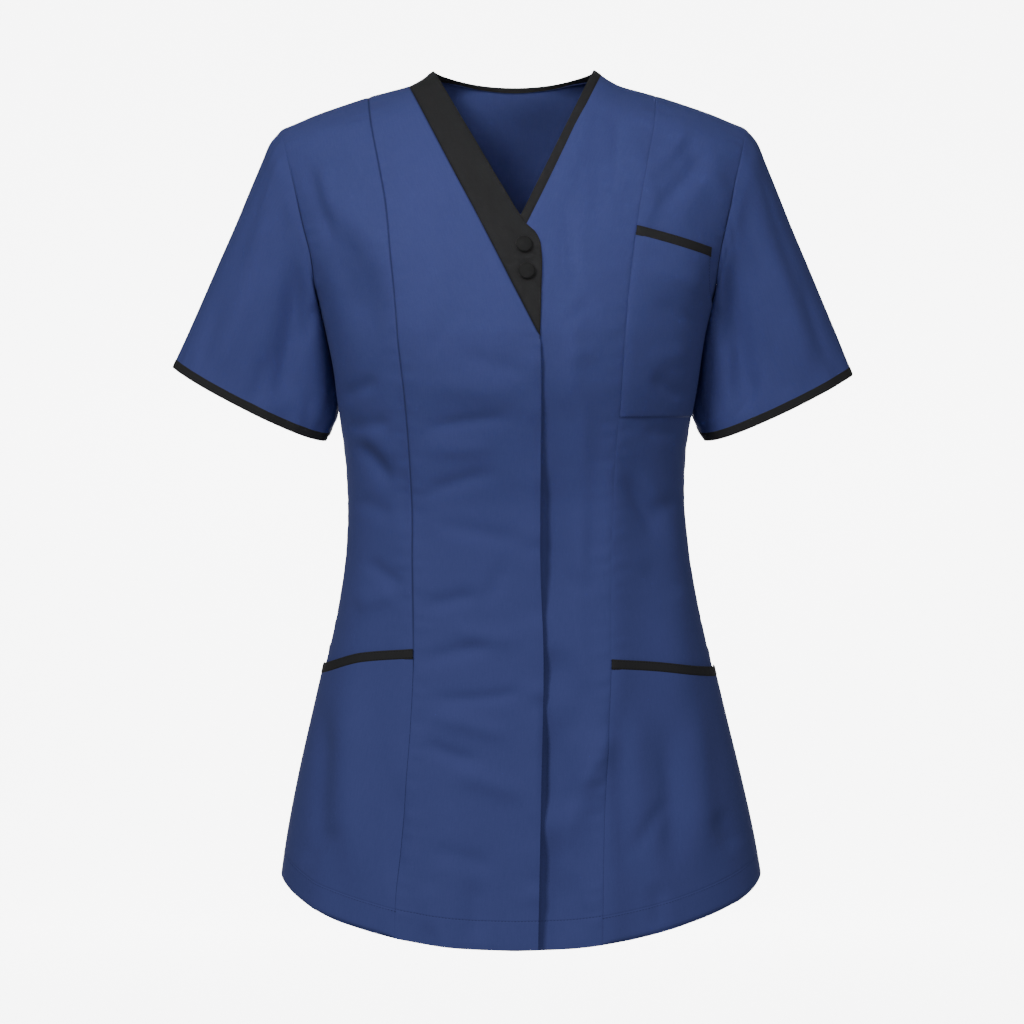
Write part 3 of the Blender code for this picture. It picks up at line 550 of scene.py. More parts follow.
@dataclass(frozen=True)
class Cloth:
    """A piece of cloth as a grid of outer points with normals and a flat measure.

    Rows run down the garment and columns across it. The measure is the distance along
    the cloth, across and down, that a weave or a row of stitches follows. Pinch thins the
    wall, and marks are distances from which the finish paints shade along seams and the hem.
    """

    points: Array
    normals: Array
    tube: bool = False
    pinch: Array | None = None
    marks: dict[str, Array] = field(default_factory=dict)

    def steps(self) -> Places:
        """Distances of the points from the first one of their row and of their column.

        Returns:
            The distances across and down.
        """
        across = np.linalg.norm(np.diff(self.points, axis=1), axis=-1)
        down = np.linalg.norm(np.diff(self.points, axis=0), axis=-1)
        first, top = np.zeros((len(self.points), 1)), np.zeros((1, self.points.shape[1]))
        across = np.concatenate([first, np.cumsum(across, axis=1)], axis=1)
        return across, np.concatenate([top, np.cumsum(down, axis=0)])

    def measure(self) -> Array:
        """Flat place of each point.

        Returns:
            Distances across and down the cloth, in millimetres.
        """
        across, down = self.steps()
        middle = across.shape[1] // 2
        across = across - across[:, [middle]]
        return np.stack([across, -np.broadcast_to(down[:, [middle]], across.shape)], axis=-1)

    def from_edge(self, edge: str) -> Array:
        """Distance of each point from an edge, along the cloth.

        Args:
            edge: First or last column, top or bottom row.

        Returns:
            The distances in millimetres.
        """
        across, down = self.steps()
        return {"first": across, "last": across[:, [-1]] - across, "top": down,
                "bottom": down[[-1]] - down}[edge]

    def from_edges(self, edges: Iterable[str]) -> Array:
        """Distance from the nearest of the named edges."""
        far = np.full(self.points.shape[:2], FAR)
        return np.minimum.reduce([far] + [self.from_edge(edge) for edge in edges])

    def near(self, edges: Iterable[str], reach: float) -> Array:
        """One at the named edges, falling to zero at a distance from them."""
        return np.clip(1.0 - self.from_edges(edges) / reach, 0.0, 1.0)

    def moved(self, height: Array) -> "Cloth":
        """The same cloth with each point moved along its normal."""
        return replace(self, points=self.points + self.normals * height[..., None])

    def marked(self, **marks: Array) -> "Cloth":
        """The same cloth with distances for the finish to read."""
        return replace(self, marks={**self.marks, **marks})

    def with_edge_lines(self, edges: Iterable[str]) -> "Cloth":
        """Adds lines of points beside edges so that they can turn or thin softly.

        Args:
            edges: Edges of the grid that get more lines.

        Returns:
            The finer cloth.
        """
        points, normals = self.points, self.normals
        for edge in edges:
            axis = 0 if edge in ("top", "bottom") else 1
            if edge in ("bottom", "last"):
                points, normals = np.flip(points, axis), np.flip(normals, axis)
            start, follow = np.take(points, [0], axis), np.take(points, [1], axis)
            length = np.maximum(np.linalg.norm(follow - start, axis=-1, keepdims=True), 1e-6)
            turn, turned = np.take(normals, [0], axis), np.take(normals, [1], axis)
            lines, sides = [start], [turn]
            for k, distance in enumerate(EDGE_LINES):
                share = np.minimum(distance / length, 0.9 * (k + 1) / len(EDGE_LINES))
                lines.append(start + (follow - start) * share)
                sides.append(unit(turn + (turned - turn) * share))
            rest = np.arange(1, points.shape[axis])
            points = np.concatenate(lines + [np.take(points, rest, axis)], axis)
            normals = np.concatenate(sides + [np.take(normals, rest, axis)], axis)
            if edge in ("bottom", "last"):
                points, normals = np.flip(points, axis), np.flip(normals, axis)
        return Cloth(points, normals, self.tube)

    def rippled(self, edge: str, ripple: Ripple) -> "Cloth":
        """Waves the cloth beside a seam.

        Args:
            edge: The sewn edge.
            ripple: The waves.

        Returns:
            The waved cloth.
        """
        across, down = self.steps()
        along = down[:, [0]] if edge in ("first", "last") else across[[0], :]
        distance = self.from_edge(edge)
        fade = smooth_step(distance / ripple.still) * np.exp(-(distance / ripple.reach) ** 2)
        return self.moved(ripple.height * ripple.wave(along) * fade)

    def sewn(self, edges: Iterable[str], open_arm: bool = False,
             faint: dict[str, SizeTable] | None = None) -> "Cloth":
        """Turns the cloth down into its seams and marks how far away they are, for the painted seam
        shadow.

        Args:
            edges: The sewn edges.
            open_arm: Whether it stays level beside the underarm, where the body and the
                sleeve fold onto each other.
            faint: How little the seam of an edge shows, in depth and painted shadow, by height.

        Returns:
            The cloth with its seams.
        """
        fine = self.with_edge_lines(edges)
        seam, depth = np.full(fine.points.shape[:2], FAR), np.zeros(fine.points.shape[:2])
        for edge in edges:
            hidden = 0.0
            if faint is not None and edge in faint:
                hidden = faint[edge].at("faint", fine.points[..., 2])
            seam = np.minimum(seam, fine.from_edge(edge) + SEAM_SHADOW_WIDTH * hidden)
            shown = SEAM_DROP * (1.0 - FAINT_SHARE * hidden)
            depth = np.maximum(depth, shown * fine.near([edge], SEAM_REACH) ** 2)
        fine = fine.marked(seam=seam)
        if open_arm:
            beside = np.abs(fine.points[..., 0]) - UNDERARM[0]
            above = fine.points[..., 2] - UNDERARM[1]
            above = np.minimum(above, 0.0) * UNDERARM_LONG + np.maximum(above, 0.0)
            away = np.hypot(beside, above)
            depth = depth * smooth_step(away / UNDERARM_REACH - UNDERARM_LEVEL)
        return fine.moved(-depth)

    def folded(self, edges: Iterable[str], depth: float = 0.42, reach: float = 1.6) -> "Cloth":
        """Thins the wall at free edges so that they look folded."""
        return replace(self, pinch=depth * self.near(edges, reach) ** 2)


@dataclass
class Shell:
    """Turns cloth into a closed thin mesh that carries its flat measure as a UV map."""

    thickness: float = 1.2
    proud: float = 0.0
    sharp_from: float = 50.0
    # Distances from which the finish paints shade along seams and the hem.
    marks: tuple[str, ...] = ("seam", "hem")

    def build(self, name: str, cloth: Cloth) -> Item:
        """Builds the mesh object.

        Args:
            name: Name of the new object.
            cloth: The grid of outer points.

        Returns:
            The object in metres.
        """
        pinch = np.zeros(cloth.points.shape[:2]) if cloth.pinch is None else cloth.pinch
        rise = (self.proud - pinch)[..., None]
        fall = (self.proud - self.thickness + pinch)[..., None]
        outer = (cloth.points + cloth.normals * rise) * MM
        inner = (cloth.points + cloth.normals * fall) * MM
        rows, columns = outer.shape[:2]
        count = rows * columns
        vertices = np.concatenate([outer.reshape(-1, 3), inner.reshape(-1, 3)])
        index = np.arange(count).reshape(rows, columns)
        after = np.roll(index, -1, axis=1)
        last = columns if cloth.tube else columns - 1
        quads = np.stack([index[:-1, :last], index[1:, :last], after[1:, :last], after[:-1, :last]],
                         axis=-1).reshape(-1, 4)
        faces = [quads, quads[:, ::-1] + count]
        faces += [self._rim(row, count, cloth.tube) for row in (index[0], index[-1])]
        if not cloth.tube:
            faces += [self._rim(index[:, column], count, False) for column in (0, -1)]
        mesh = bpy.data.meshes.new(name)
        mesh.from_pydata(vertices.tolist(), [], np.concatenate(faces).tolist())
        measure = cloth.measure().reshape(-1, 2) * MM
        measure = np.concatenate([measure, measure])
        loops = np.zeros(len(mesh.loops), dtype=np.int64)
        mesh.loops.foreach_get("vertex_index", loops)
        layer = mesh.uv_layers.new(name="cloth")
        layer.data.foreach_set("uv", measure[loops].ravel())
        for mark in self.marks:
            values = cloth.marks.get(mark, np.full((rows, columns), FAR)).ravel() * MM
            attribute = mesh.attributes.new(mark, "FLOAT", "POINT")
            attribute.data.foreach_set("value", np.concatenate([values, values]))
        self._face_outwards(mesh)
        mesh.shade_smooth()
        mesh.set_sharp_from_angle(angle=math.radians(self.sharp_from))
        return linked(name, mesh)

    @staticmethod
    def _rim(line: Array, count: int, closed: bool) -> Array:
        """Faces that close the wall along one line of outer points.

        Args:
            line: Numbers of the points.
            count: How far on the inner points are numbered.
            closed: Whether the line is a ring.

        Returns:
            Four numbers for each face.
        """
        start = line if closed else line[:-1]
        end = np.roll(line, -1) if closed else line[1:]
        return np.stack([start, end, end + count, start + count], axis=-1)

    @staticmethod
    def _face_outwards(mesh: bpy.types.Mesh) -> None:
        """Makes every face of a closed mesh point out.

        Args:
            mesh: The mesh.
        """
        bm = bmesh.new()
        bm.from_mesh(mesh)
        bmesh.ops.recalc_face_normals(bm, faces=bm.faces)
        bm.to_mesh(mesh)
        bm.free()


# --- stitches

@dataclass
class StitchRows:
    """Rows of sewn stitches along lines of the cloth, repeated by Geometry Nodes.

    Sizes are in millimetres. A stitch is at least the shortest share of its length.
    """

    name: str
    pitch: float = 2.7
    length: float = 2.0
    shortest: float = 0.86
    radius: float = 0.16
    proud: float = 0.02
    seed: int = 4
    lines: list[Array] = field(default_factory=list)

    def follow(self, cloth: Cloth, edge: str, distance: float, shell: Shell) -> None:
        """Adds a row beside an edge of a piece.

        Args:
            cloth: The piece.
            edge: Edge of its grid that the row follows.
            distance: How far from the edge the row lies.
            shell: How the piece's wall is made.
        """
        away = cloth.from_edge(edge)
        points = cloth.points + cloth.normals * (shell.proud + self.proud)
        if edge in ("top", "bottom"):
            away, points = away.T, points.transpose(1, 0, 2)
        if edge in ("bottom", "last"):
            away, points = away[:, ::-1], points[:, ::-1]
        line = np.array([[np.interp(distance, gaps, spots[:, axis]) for axis in range(3)]
                         for gaps, spots in zip(away, points)])
        if cloth.tube and edge in ("top", "bottom"):
            line = np.concatenate([line, line[:1]])
        self.lines.append(line * MM)

    def build(self, finish: Material) -> Item:
        """Turns the rows into one plain mesh of stitches.

        Args:
            finish: Material of the thread.

        Returns:
            The object.
        """
        counts = [len(line) for line in self.lines]
        starts = np.cumsum([0] + counts)
        edges = [(start + i, start + i + 1) for start, count in zip(starts, counts)
                 for i in range(count - 1)]
        mesh = bpy.data.meshes.new(self.name + "_rows")
        mesh.from_pydata(np.concatenate(self.lines).tolist(), edges, [])
        item = linked(self.name + "_rows", mesh)
        inputs = {"Pitch": self.pitch, "Length": self.length, "Radius": self.radius}
        modifier = item.modifiers.new("stitches", "NODES")
        modifier.node_group, sockets = self._tree(finish, inputs)
        for key, size in inputs.items():
            modifier[sockets[key]] = size * MM
        graph = bpy.context.evaluated_depsgraph_get()
        made = bpy.data.meshes.new_from_object(item.evaluated_get(graph))
        made.name = self.name
        bpy.data.objects.remove(item)
        return linked(self.name, made)

    def _tree(self, finish: Material, names: Iterable[str]) -> tuple[bpy.types.ID, dict[str, str]]:
        """Makes the node tree that sews a stitch at each step of the rows.

        Args:
            finish: Material of the thread.
            names: Names of its sizes.

        Returns:
            The tree, and the identifiers of its sizes' sockets by name.
        """
        tree = bpy.data.node_groups.new("stitch_rows", "GeometryNodeTree")
        tree.interface.new_socket("Geometry", in_out="INPUT", socket_type="NodeSocketGeometry")
        sockets = {}
        for name in names:
            socket = tree.interface.new_socket(name, in_out="INPUT", socket_type="NodeSocketFloat")
            sockets[name] = socket.identifier
        tree.interface.new_socket("Geometry", in_out="OUTPUT", socket_type="NodeSocketGeometry")

        def add(kind: str, links: dict[int | str, object], **settings: object) -> bpy.types.Node:
            """Adds a node.

            Args:
                kind: Type of the node.
                links: Values or links of its sockets, by name or index.
                settings: Properties of the node.

            Returns:
                The node.
            """
            made = tree.nodes.new(kind)
            for key, setting in settings.items():
                setattr(made, key, setting)
            for key, given in links.items():
                if isinstance(given, bpy.types.NodeSocket):
                    tree.links.new(given, made.inputs[key])
                else:
                    made.inputs[key].default_value = given
            return made

        given = add("NodeGroupInput", {}).outputs
        curve = add("GeometryNodeMeshToCurve", {"Mesh": given["Geometry"]}).outputs["Curve"]
        steps = add("GeometryNodeResampleCurve", {"Curve": curve, "Length": given["Pitch"]},
                    mode="LENGTH")
        tangent = add("GeometryNodeInputTangent", {}).outputs[0]
        turn = add("FunctionNodeAlignRotationToVector", {"Vector": tangent}, axis="Z")
        uneven = add("FunctionNodeRandomValue", {2: self.shortest, 3: 1.0, "Seed": self.seed})
        half = add("ShaderNodeMath", {0: given["Length"], 1: 0.5}, operation="MULTIPLY")
        long = add("ShaderNodeMath", {0: half.outputs[0], 1: uneven.outputs[1]},
                   operation="MULTIPLY")
        scale = add("ShaderNodeCombineXYZ", {"X": given["Radius"], "Y": given["Radius"],
                                             "Z": long.outputs[0]})
        thread = add("GeometryNodeMeshUVSphere", {"Segments": 6, "Rings": 5, "Radius": 1.0})
        sewn = add("GeometryNodeInstanceOnPoints", {
            "Points": steps.outputs["Curve"], "Instance": thread.outputs["Mesh"],
            "Rotation": turn.outputs["Rotation"], "Scale": scale.outputs["Vector"]})
        real = add("GeometryNodeRealizeInstances", {"Geometry": sewn.outputs["Instances"]})
        smooth = add("GeometryNodeSetShadeSmooth", {"Geometry": real.outputs["Geometry"]})
        dressed = add("GeometryNodeSetMaterial", {"Geometry": smooth.outputs["Geometry"],
                                                  "Material": finish})
        add("NodeGroupOutput", {"Geometry": dressed.outputs["Geometry"]})
        return tree, sockets


# --- body of the tunic

@dataclass
class Bodice:
    """Fronts and back: their seams, edges and grids of cloth.

    The left front reaches to underlap_x under the right one and lies underlap_depth deep
    up to underlap_full_x. The tables in faint tell how little a seam's depth and painted shadow
    show, by height.
    """

    form: WornForm
    spacing: float = PANEL_SPACING
    side_width: float = 128.0
    centre_width: float = 112.0
    back_middle_width: float = 245.0
    underlap_x: float = -22.0
    underlap_full_x: float = 27.0
    underlap_end_x: float = 60.0
    underlap_depth: SizeTable = size_table(
        "z depth",
        (0, 2), (-225, 2), (-290, 3), (-360, 8), (-405, 10), (-440, 7.5),
        (-478, 3.5), (-502, 8), (-530, 4), (-572, 9.5), (-602, 9),
        (-626, 4.5), (-655, 9.5), (-685, 9), (-728, 5.5))
    band_top_x: float = -90.0
    band_tip: tuple[float, float] = (20.5, -225.3)
    band_tip_width: float = 1.0
    neck_seam_half: float = 73.0
    neckline_slope: float = 0.493
    neck_back_drop: float = 10.0
    neck_steps: int = 28
    binding_width: float = 7.0
    neck_tuck: float = 2.4
    neck_half_clear: float = 66.0
    princess: SizeTable = size_table(
        "z right left",
        (-20, -124.5, 119.5), (-50, -120, 116), (-84, -113, 109),
        (-120, -106.5, 102.5), (-170, -101.5, 95.5), (-220, -97.5, 90.5),
        (-280, -91.5, 86.5), (-340, -87, 81), (-410, -84.5, 78.5),
        (-490, -83.5, 78), (-550, -86, 76), (-620, -91.5, 73),
        (-690, -97.5, 71.5), (-740, -99, 71))
    lap: SizeTable = size_table(
        "z x",
        (-225.3, 20.5), (-280, 21.3), (-400, 20.6), (-500, 23.4), (-600, 21.4),
        (-728, 18.8))
    faint: dict[str, SizeTable] = field(default_factory=lambda: {
        "right": SizeTable("z faint", [
            (-20, 0.1), (-440, 0.1), (-490, 0.35), (-520, 0.9), (-730, 1)]),
        "left": SizeTable("z faint", [
            (-20, 0.6), (-140, 0.55), (-170, 0.8), (-300, 0.88), (-480, 0.88),
            (-730, 0.97)]),
        "armhole": SizeTable("z faint", [
            (-40, 0.75), (-85, 0.6), (-120, 0.15), (-150, 0), (-260, 0)])})
    lap_lift: float = 2.2
    lap_wave: Ripple = Ripple(height=1.1, length=44.0, reach=15.0, seed=5)
    lap_below_tip: float = 4.0
    hem_wave_height: float = 0.9
    hem_wave_length: float = 31.0
    hem_wave_reach: float = 26.0

    def princess_edge(self, hand: Hand) -> Edge:
        """The princess seam of one front, as x by height."""
        return lambda z: self.princess.at(hand.word, z)

    def right_edge(self, z: Array) -> Array:
        """Band seam down to the band's tip and the lapped edge below it.

        Args:
            z: Heights.

        Returns:
            The edge's x at each height.
        """
        top_z = self.form.shoulder_z(self.band_top_x)
        share = (z - top_z) / (self.band_tip[1] - top_z)
        seam = self.band_top_x + share * (self.band_tip[0] - self.band_tip_width - self.band_top_x)
        return np.where(z > self.band_tip[1], seam, self.lap.at("x", z))

    def left_edge(self, z: Array) -> Array:
        """Neckline and, below it, the edge that lies under the right front.

        Args:
            z: Heights.

        Returns:
            The edge's x at each height.
        """
        top_x = self.form.shoulder_lean + self.neck_seam_half
        below = z - self.form.shoulder_z(top_x)
        return np.maximum(top_x + self.neckline_slope * below, self.underlap_x)

    def underlap(self, x: Array, z: Array) -> Array:
        """How deep the left front lies below the right front.

        Args:
            x: Places across.
            z: Their heights.

        Returns:
            The depth at each place.
        """
        reach = self.underlap_end_x - self.underlap_full_x
        depth = self.underlap_depth.at("depth", z)
        return depth * smooth_step((self.underlap_end_x - x) / reach)

    def cloth(self, x: Array, z: Array, side: Side) -> Cloth:
        """Cloth of the worn form, creases included.

        Args:
            x: Grid of places across the form.
            z: Their heights.
            side: Front or back.

        Returns:
            The cloth.
        """
        points = self.form.smooth_points(x, z, side)
        normals = self.form.normals(points, side)
        return Cloth(points, normals).moved(self.form.rise(x, z, side))

    def side_places(self, hand: Hand, side: Side, top: Edge) -> Places:
        """Places from a princess line to the armhole and side seam.

        Args:
            hand: The wearer's right or left.
            side: Front or back.
            top: Height of row 0 by place across.

        Returns:
            Grids of x and z.
        """
        rows = self.form.dense_rows(self.spacing)
        inner, outer = self.princess_edge(hand), self.form.side_edge(hand, side)
        start, end = self.form.on_row(inner, rows, top), self.form.on_row(outer, rows, top)
        first = self.form.angle(*start, hand)[:, None]
        last = self.form.angle(*end, hand)[:, None]
        count = round(self.side_width / self.spacing)
        share = np.linspace(0.0, 1.0, count + 1)[None, :]
        row = np.broadcast_to(rows[:, None], (len(rows), count + 1))
        x, z = self.form.at_angle(first + (last - first) * share, row, hand, top)
        for column, (edge_x, edge_z) in ((0, start), (-1, end)):
            x[:, column], z[:, column] = edge_x, edge_z
        return x, z

    def centre_places(self, inner: Edge, outer: Edge, top: Edge,
                      width: float) -> Places:
        """Places evenly spaced between two edges.

        Args:
            inner: Edge of the first column, as x by height.
            outer: Edge of the last column.
            top: Height of row 0 by place across.
            width: About how far apart the edges are.

        Returns:
            Grids of x and z.
        """
        rows = self.form.dense_rows(self.spacing)
        start = self.form.on_row(inner, rows, top)
        end = self.form.on_row(outer, rows, top)
        count = round(width / self.spacing)
        share = np.linspace(0.0, 1.0, count + 1)[None, :]
        x = start[0][:, None] + (end[0] - start[0])[:, None] * share
        z = self.form.row_z(x, rows[:, None], top)
        z[:, 0], z[:, -1] = start[1], end[1]
        return x, z

    def front_side(self, hand: Hand) -> Cloth:
        """Side front panel."""
        x, z = self.side_places(hand, Side.FRONT, self.form.shoulder_z)
        return self.cloth(x, z, Side.FRONT)

    def front_centre(self, hand: Hand) -> Cloth:
        """Centre front panel. The left one sinks below the right where they lap.

        Args:
            hand: The wearer's right or left.

        Returns:
            Its cloth.
        """
        edge = self.right_edge if hand is Hand.RIGHT else self.left_edge
        x, z = self.centre_places(self.princess_edge(hand), edge, self.form.shoulder_z,
                                  self.centre_width)
        cloth = self.cloth(x, z, Side.FRONT)
        if hand is Hand.LEFT:
            cloth = cloth.moved(-self.underlap(x, z))
        return cloth

    def sewn(self, name: str, cloth: Cloth) -> Cloth:
        """A panel with its seams turned in, its ripples and the marks for its painted seam and hem
        shade.

        Args:
            name: The panel.
            cloth: Its grid.

        Returns:
            The finished cloth.
        """
        centre = name.startswith("front_centre")
        seams = ["first", "top"] if centre else ["first", "last", "top"]
        faint = {} if name == "back" else {"first": self.faint[name.rsplit("_", 1)[1]]}
        if name.startswith("front_side"):
            faint["last"] = self.faint["armhole"]
        fine = cloth.sewn(seams, open_arm=True, faint=faint)
        fine = fine.marked(hem=fine.from_edge("bottom"))
        for number, edge in enumerate(seams):
            if edge != "top":
                fine = fine.rippled(edge, Ripple(seed=len(name) * 7 + number))
        side = Side.BACK if name == "back" else Side.FRONT
        fine = fine.moved(self.hem_wave(fine.points, fine.from_edge("bottom"), side))
        if name == "front_centre_right":
            fine = self._lapped(fine)
        return fine.folded(["bottom", "last"] if centre else ["bottom"])

    def hem_wave(self, points: Array, distance: Array, side: Side) -> Array:
        """Height of the hem's own uneven waves.

        Args:
            points: Points of a panel.
            distance: How far from the hem they lie.
            side: Front or back.

        Returns:
            The height at each point.
        """
        x, z = points[..., 0], points[..., 2]
        wave = Ripple(length=self.hem_wave_length, seed=11 if side is Side.FRONT else 12).wave(x)
        fade = self.form.away_from_side(x, z, side)
        return self.hem_wave_height * wave * fade * np.exp(-(distance / self.hem_wave_reach) ** 2)

    def _lapped(self, cloth: Cloth) -> Cloth:
        """Lifts and waves the free edge of the right front, and paints shadow along its band seam.

        Args:
            cloth: The right centre front.

        Returns:
            The same panel with its lapped edge.
        """
        below = cloth.points[:, -1:, 2] < self.band_tip[1] - self.lap_below_tip
        along = cloth.steps()[1][:, [-1]]
        fade = np.exp(-(cloth.from_edge("last") / self.lap_wave.reach) ** 2)
        wave = self.lap_wave.height * self.lap_wave.wave(along)
        lift = np.where(below, self.lap_lift + wave, 0.0) * fade
        # Painted shadow along the band seam above the band's tip, none along the free edge below
        # it.
        seam = np.where(below, FAR, cloth.from_edge("last"))
        return cloth.moved(lift).marked(seam=np.minimum(cloth.marks["seam"], seam))

    def back_neck(self) -> Places:
        """Neck edge of the back and the seam of its binding, from right to left.

        Returns:
            The points of the edge and of the seam.
        """
        turn = np.sin(np.linspace(-0.5 * math.pi, 0.5 * math.pi, 2 * self.neck_steps + 1))
        x = self.form.shoulder_lean + self.form.neck_half * turn
        z = -self.neck_back_drop * (1.0 - turn ** 2)
        edge = self.form.smooth_points(x, z, Side.BACK)
        tangent = unit(np.gradient(edge, axis=0))
        away = np.cross(tangent, self.form.normals(edge, Side.BACK))
        away = away * -np.sign(away[:, [2]])
        seam = self.form.settle(edge + away * self.binding_width, Side.BACK)
        for i, sign in ((0, -1.0), (-1, 1.0)):
            end_x = np.array(self.form.shoulder_lean + sign * self.neck_seam_half)
            seam[i] = self.form.smooth_points(end_x, self.form.shoulder_z(end_x), Side.BACK)
        return edge, seam

    def back(self) -> Cloth:
        """The back, one piece from side seam to side seam.

        Returns:
            Its cloth.
        """
        _, seam = self.back_neck()
        neck = SizeTable("x z", [(point[0], point[2]) for point in seam])

        def top(x: Array) -> Array:
            """Neck seam between the shoulders and the shoulder line beyond.

            Args:
                x: Places across the back.

            Returns:
                The height of the edge at each place.
            """
            inside = (x > neck.key[0]) & (x < neck.key[-1])
            share = (self.neck_half_clear - np.abs(x)) / self.neck_half_clear * 3.0
            tucked = neck.at("z", x) + self.neck_tuck * smooth_step(share)
            return np.where(inside, tucked, self.form.shoulder_z(x))

        right = self.side_places(Hand.RIGHT, Side.BACK, top)
        left = self.side_places(Hand.LEFT, Side.BACK, top)
        middle = self.centre_places(self.princess_edge(Hand.RIGHT), self.princess_edge(Hand.LEFT),
                                    top, self.back_middle_width)
        x = np.concatenate([right[0][:, ::-1], middle[0][:, 1:-1], left[0]], axis=1)
        z = np.concatenate([right[1][:, ::-1], middle[1][:, 1:-1], left[1]], axis=1)
        return self.cloth(x, z, Side.BACK)


@dataclass
class NeckTrim:
    """Wide band of the lapped neckline and the narrow binding round the rest of the neck."""

    bodice: Bodice
    overlap: float = 0.8
    edge: SizeTable = size_table(
        "share x z",
        (0, -68.9, 0), (0.3, -33, -62.5), (0.595, 3.3, -124.5), (0.64, 9.2, -133.5),
        (0.69, 17.5, -141.5), (0.735, 21.3, -152), (0.8, 22.2, -166.2),
        (0.88, 21.5, -188.4), (1, 20.5, -225.3))
    lift: float = 0.3
    lift_reach: float = 9.0
    lift_from: float = 30.0
    wave: Ripple = Ripple(height=0.5, length=36.0, seed=9)
    binding_end_row: float = 0.96
    rows: int = 150
    columns: int = 24

    def band(self) -> Cloth:
        """The band from the right shoulder to its tip at the lapped edge.

        Returns:
            Its cloth.
        """
        bodice, form = self.bodice, self.bodice.form
        top_z = form.shoulder_z(bodice.band_top_x)
        along = np.linspace(0.0, 1.0, self.rows)
        seam_z = top_z + (bodice.band_tip[1] - top_z) * along
        seam_x = bodice.right_edge(np.maximum(seam_z, bodice.band_tip[1] + 1e-3))
        edge_x = self.edge.at("x", along)
        edge_z = np.minimum(self.edge.at("z", along), form.shoulder_z(edge_x))
        seam_below = form.shoulder_z(seam_x) - seam_z
        edge_below = form.shoulder_z(edge_x) - edge_z
        share = np.linspace(0.0, 1.0, self.columns)[None, :]
        x = seam_x[:, None] + (edge_x - seam_x)[:, None] * share
        below = seam_below[:, None] + (edge_below - seam_below)[:, None] * share
        z = form.shoulder_z(x) - below
        band = bodice.cloth(x, z, Side.FRONT).with_edge_lines(["last"]).sewn(["first", "top"])
        along = band.steps()[1][:, [-1]]
        lift = self.lift + self.wave.height * self.wave.wave(along)
        beside = np.exp(-(band.from_edge("last") / self.lift_reach) ** 2)
        band = band.moved(lift * beside * smooth_step(along / self.lift_from))
        return band.folded(["last", "bottom"])

    def binding(self) -> Cloth:
        """The strip round the back neck and down the left neckline.

        Returns:
            Its cloth.
        """
        bodice, form = self.bodice, self.bodice.form
        edge, seam = bodice.back_neck()
        edge_normals = form.normals(edge, Side.BACK)
        seam_normals = form.normals(seam, Side.BACK)
        rows = form.dense_rows(bodice.spacing)
        rows = rows[(rows > 0.0) & (rows < self.binding_end_row)]
        x, z = form.on_row(bodice.left_edge, rows, form.shoulder_z)
        surface = form.smooth_points(x, z, Side.FRONT)
        normals = form.normals(surface, Side.FRONT)
        tangent = unit(np.gradient(surface, axis=0))
        away = np.cross(tangent, normals)
        away = away * np.where(away[:, [2]] < 0.0, -1.0, 1.0)
        free = form.settle(surface + away * bodice.binding_width, Side.FRONT)
        depth = bodice.underlap(x, z)[:, None]
        free_normals = form.normals(free, Side.FRONT)
        free = free - free_normals * depth
        surface = surface - normals * depth
        edges = np.concatenate([edge, free])
        seams = np.concatenate([seam, surface])
        seams = seams + unit(seams - edges) * self.overlap
        first = np.concatenate([edge_normals, free_normals])[:, None]
        last = np.concatenate([seam_normals, normals])[:, None]
        share = np.array(STRIP_SHARES)[None, :, None]
        points = edges[:, None] + (seams - edges)[:, None] * share
        strip = Cloth(points, unit(first + (last - first) * share))
        return strip.folded(["first", "last"])


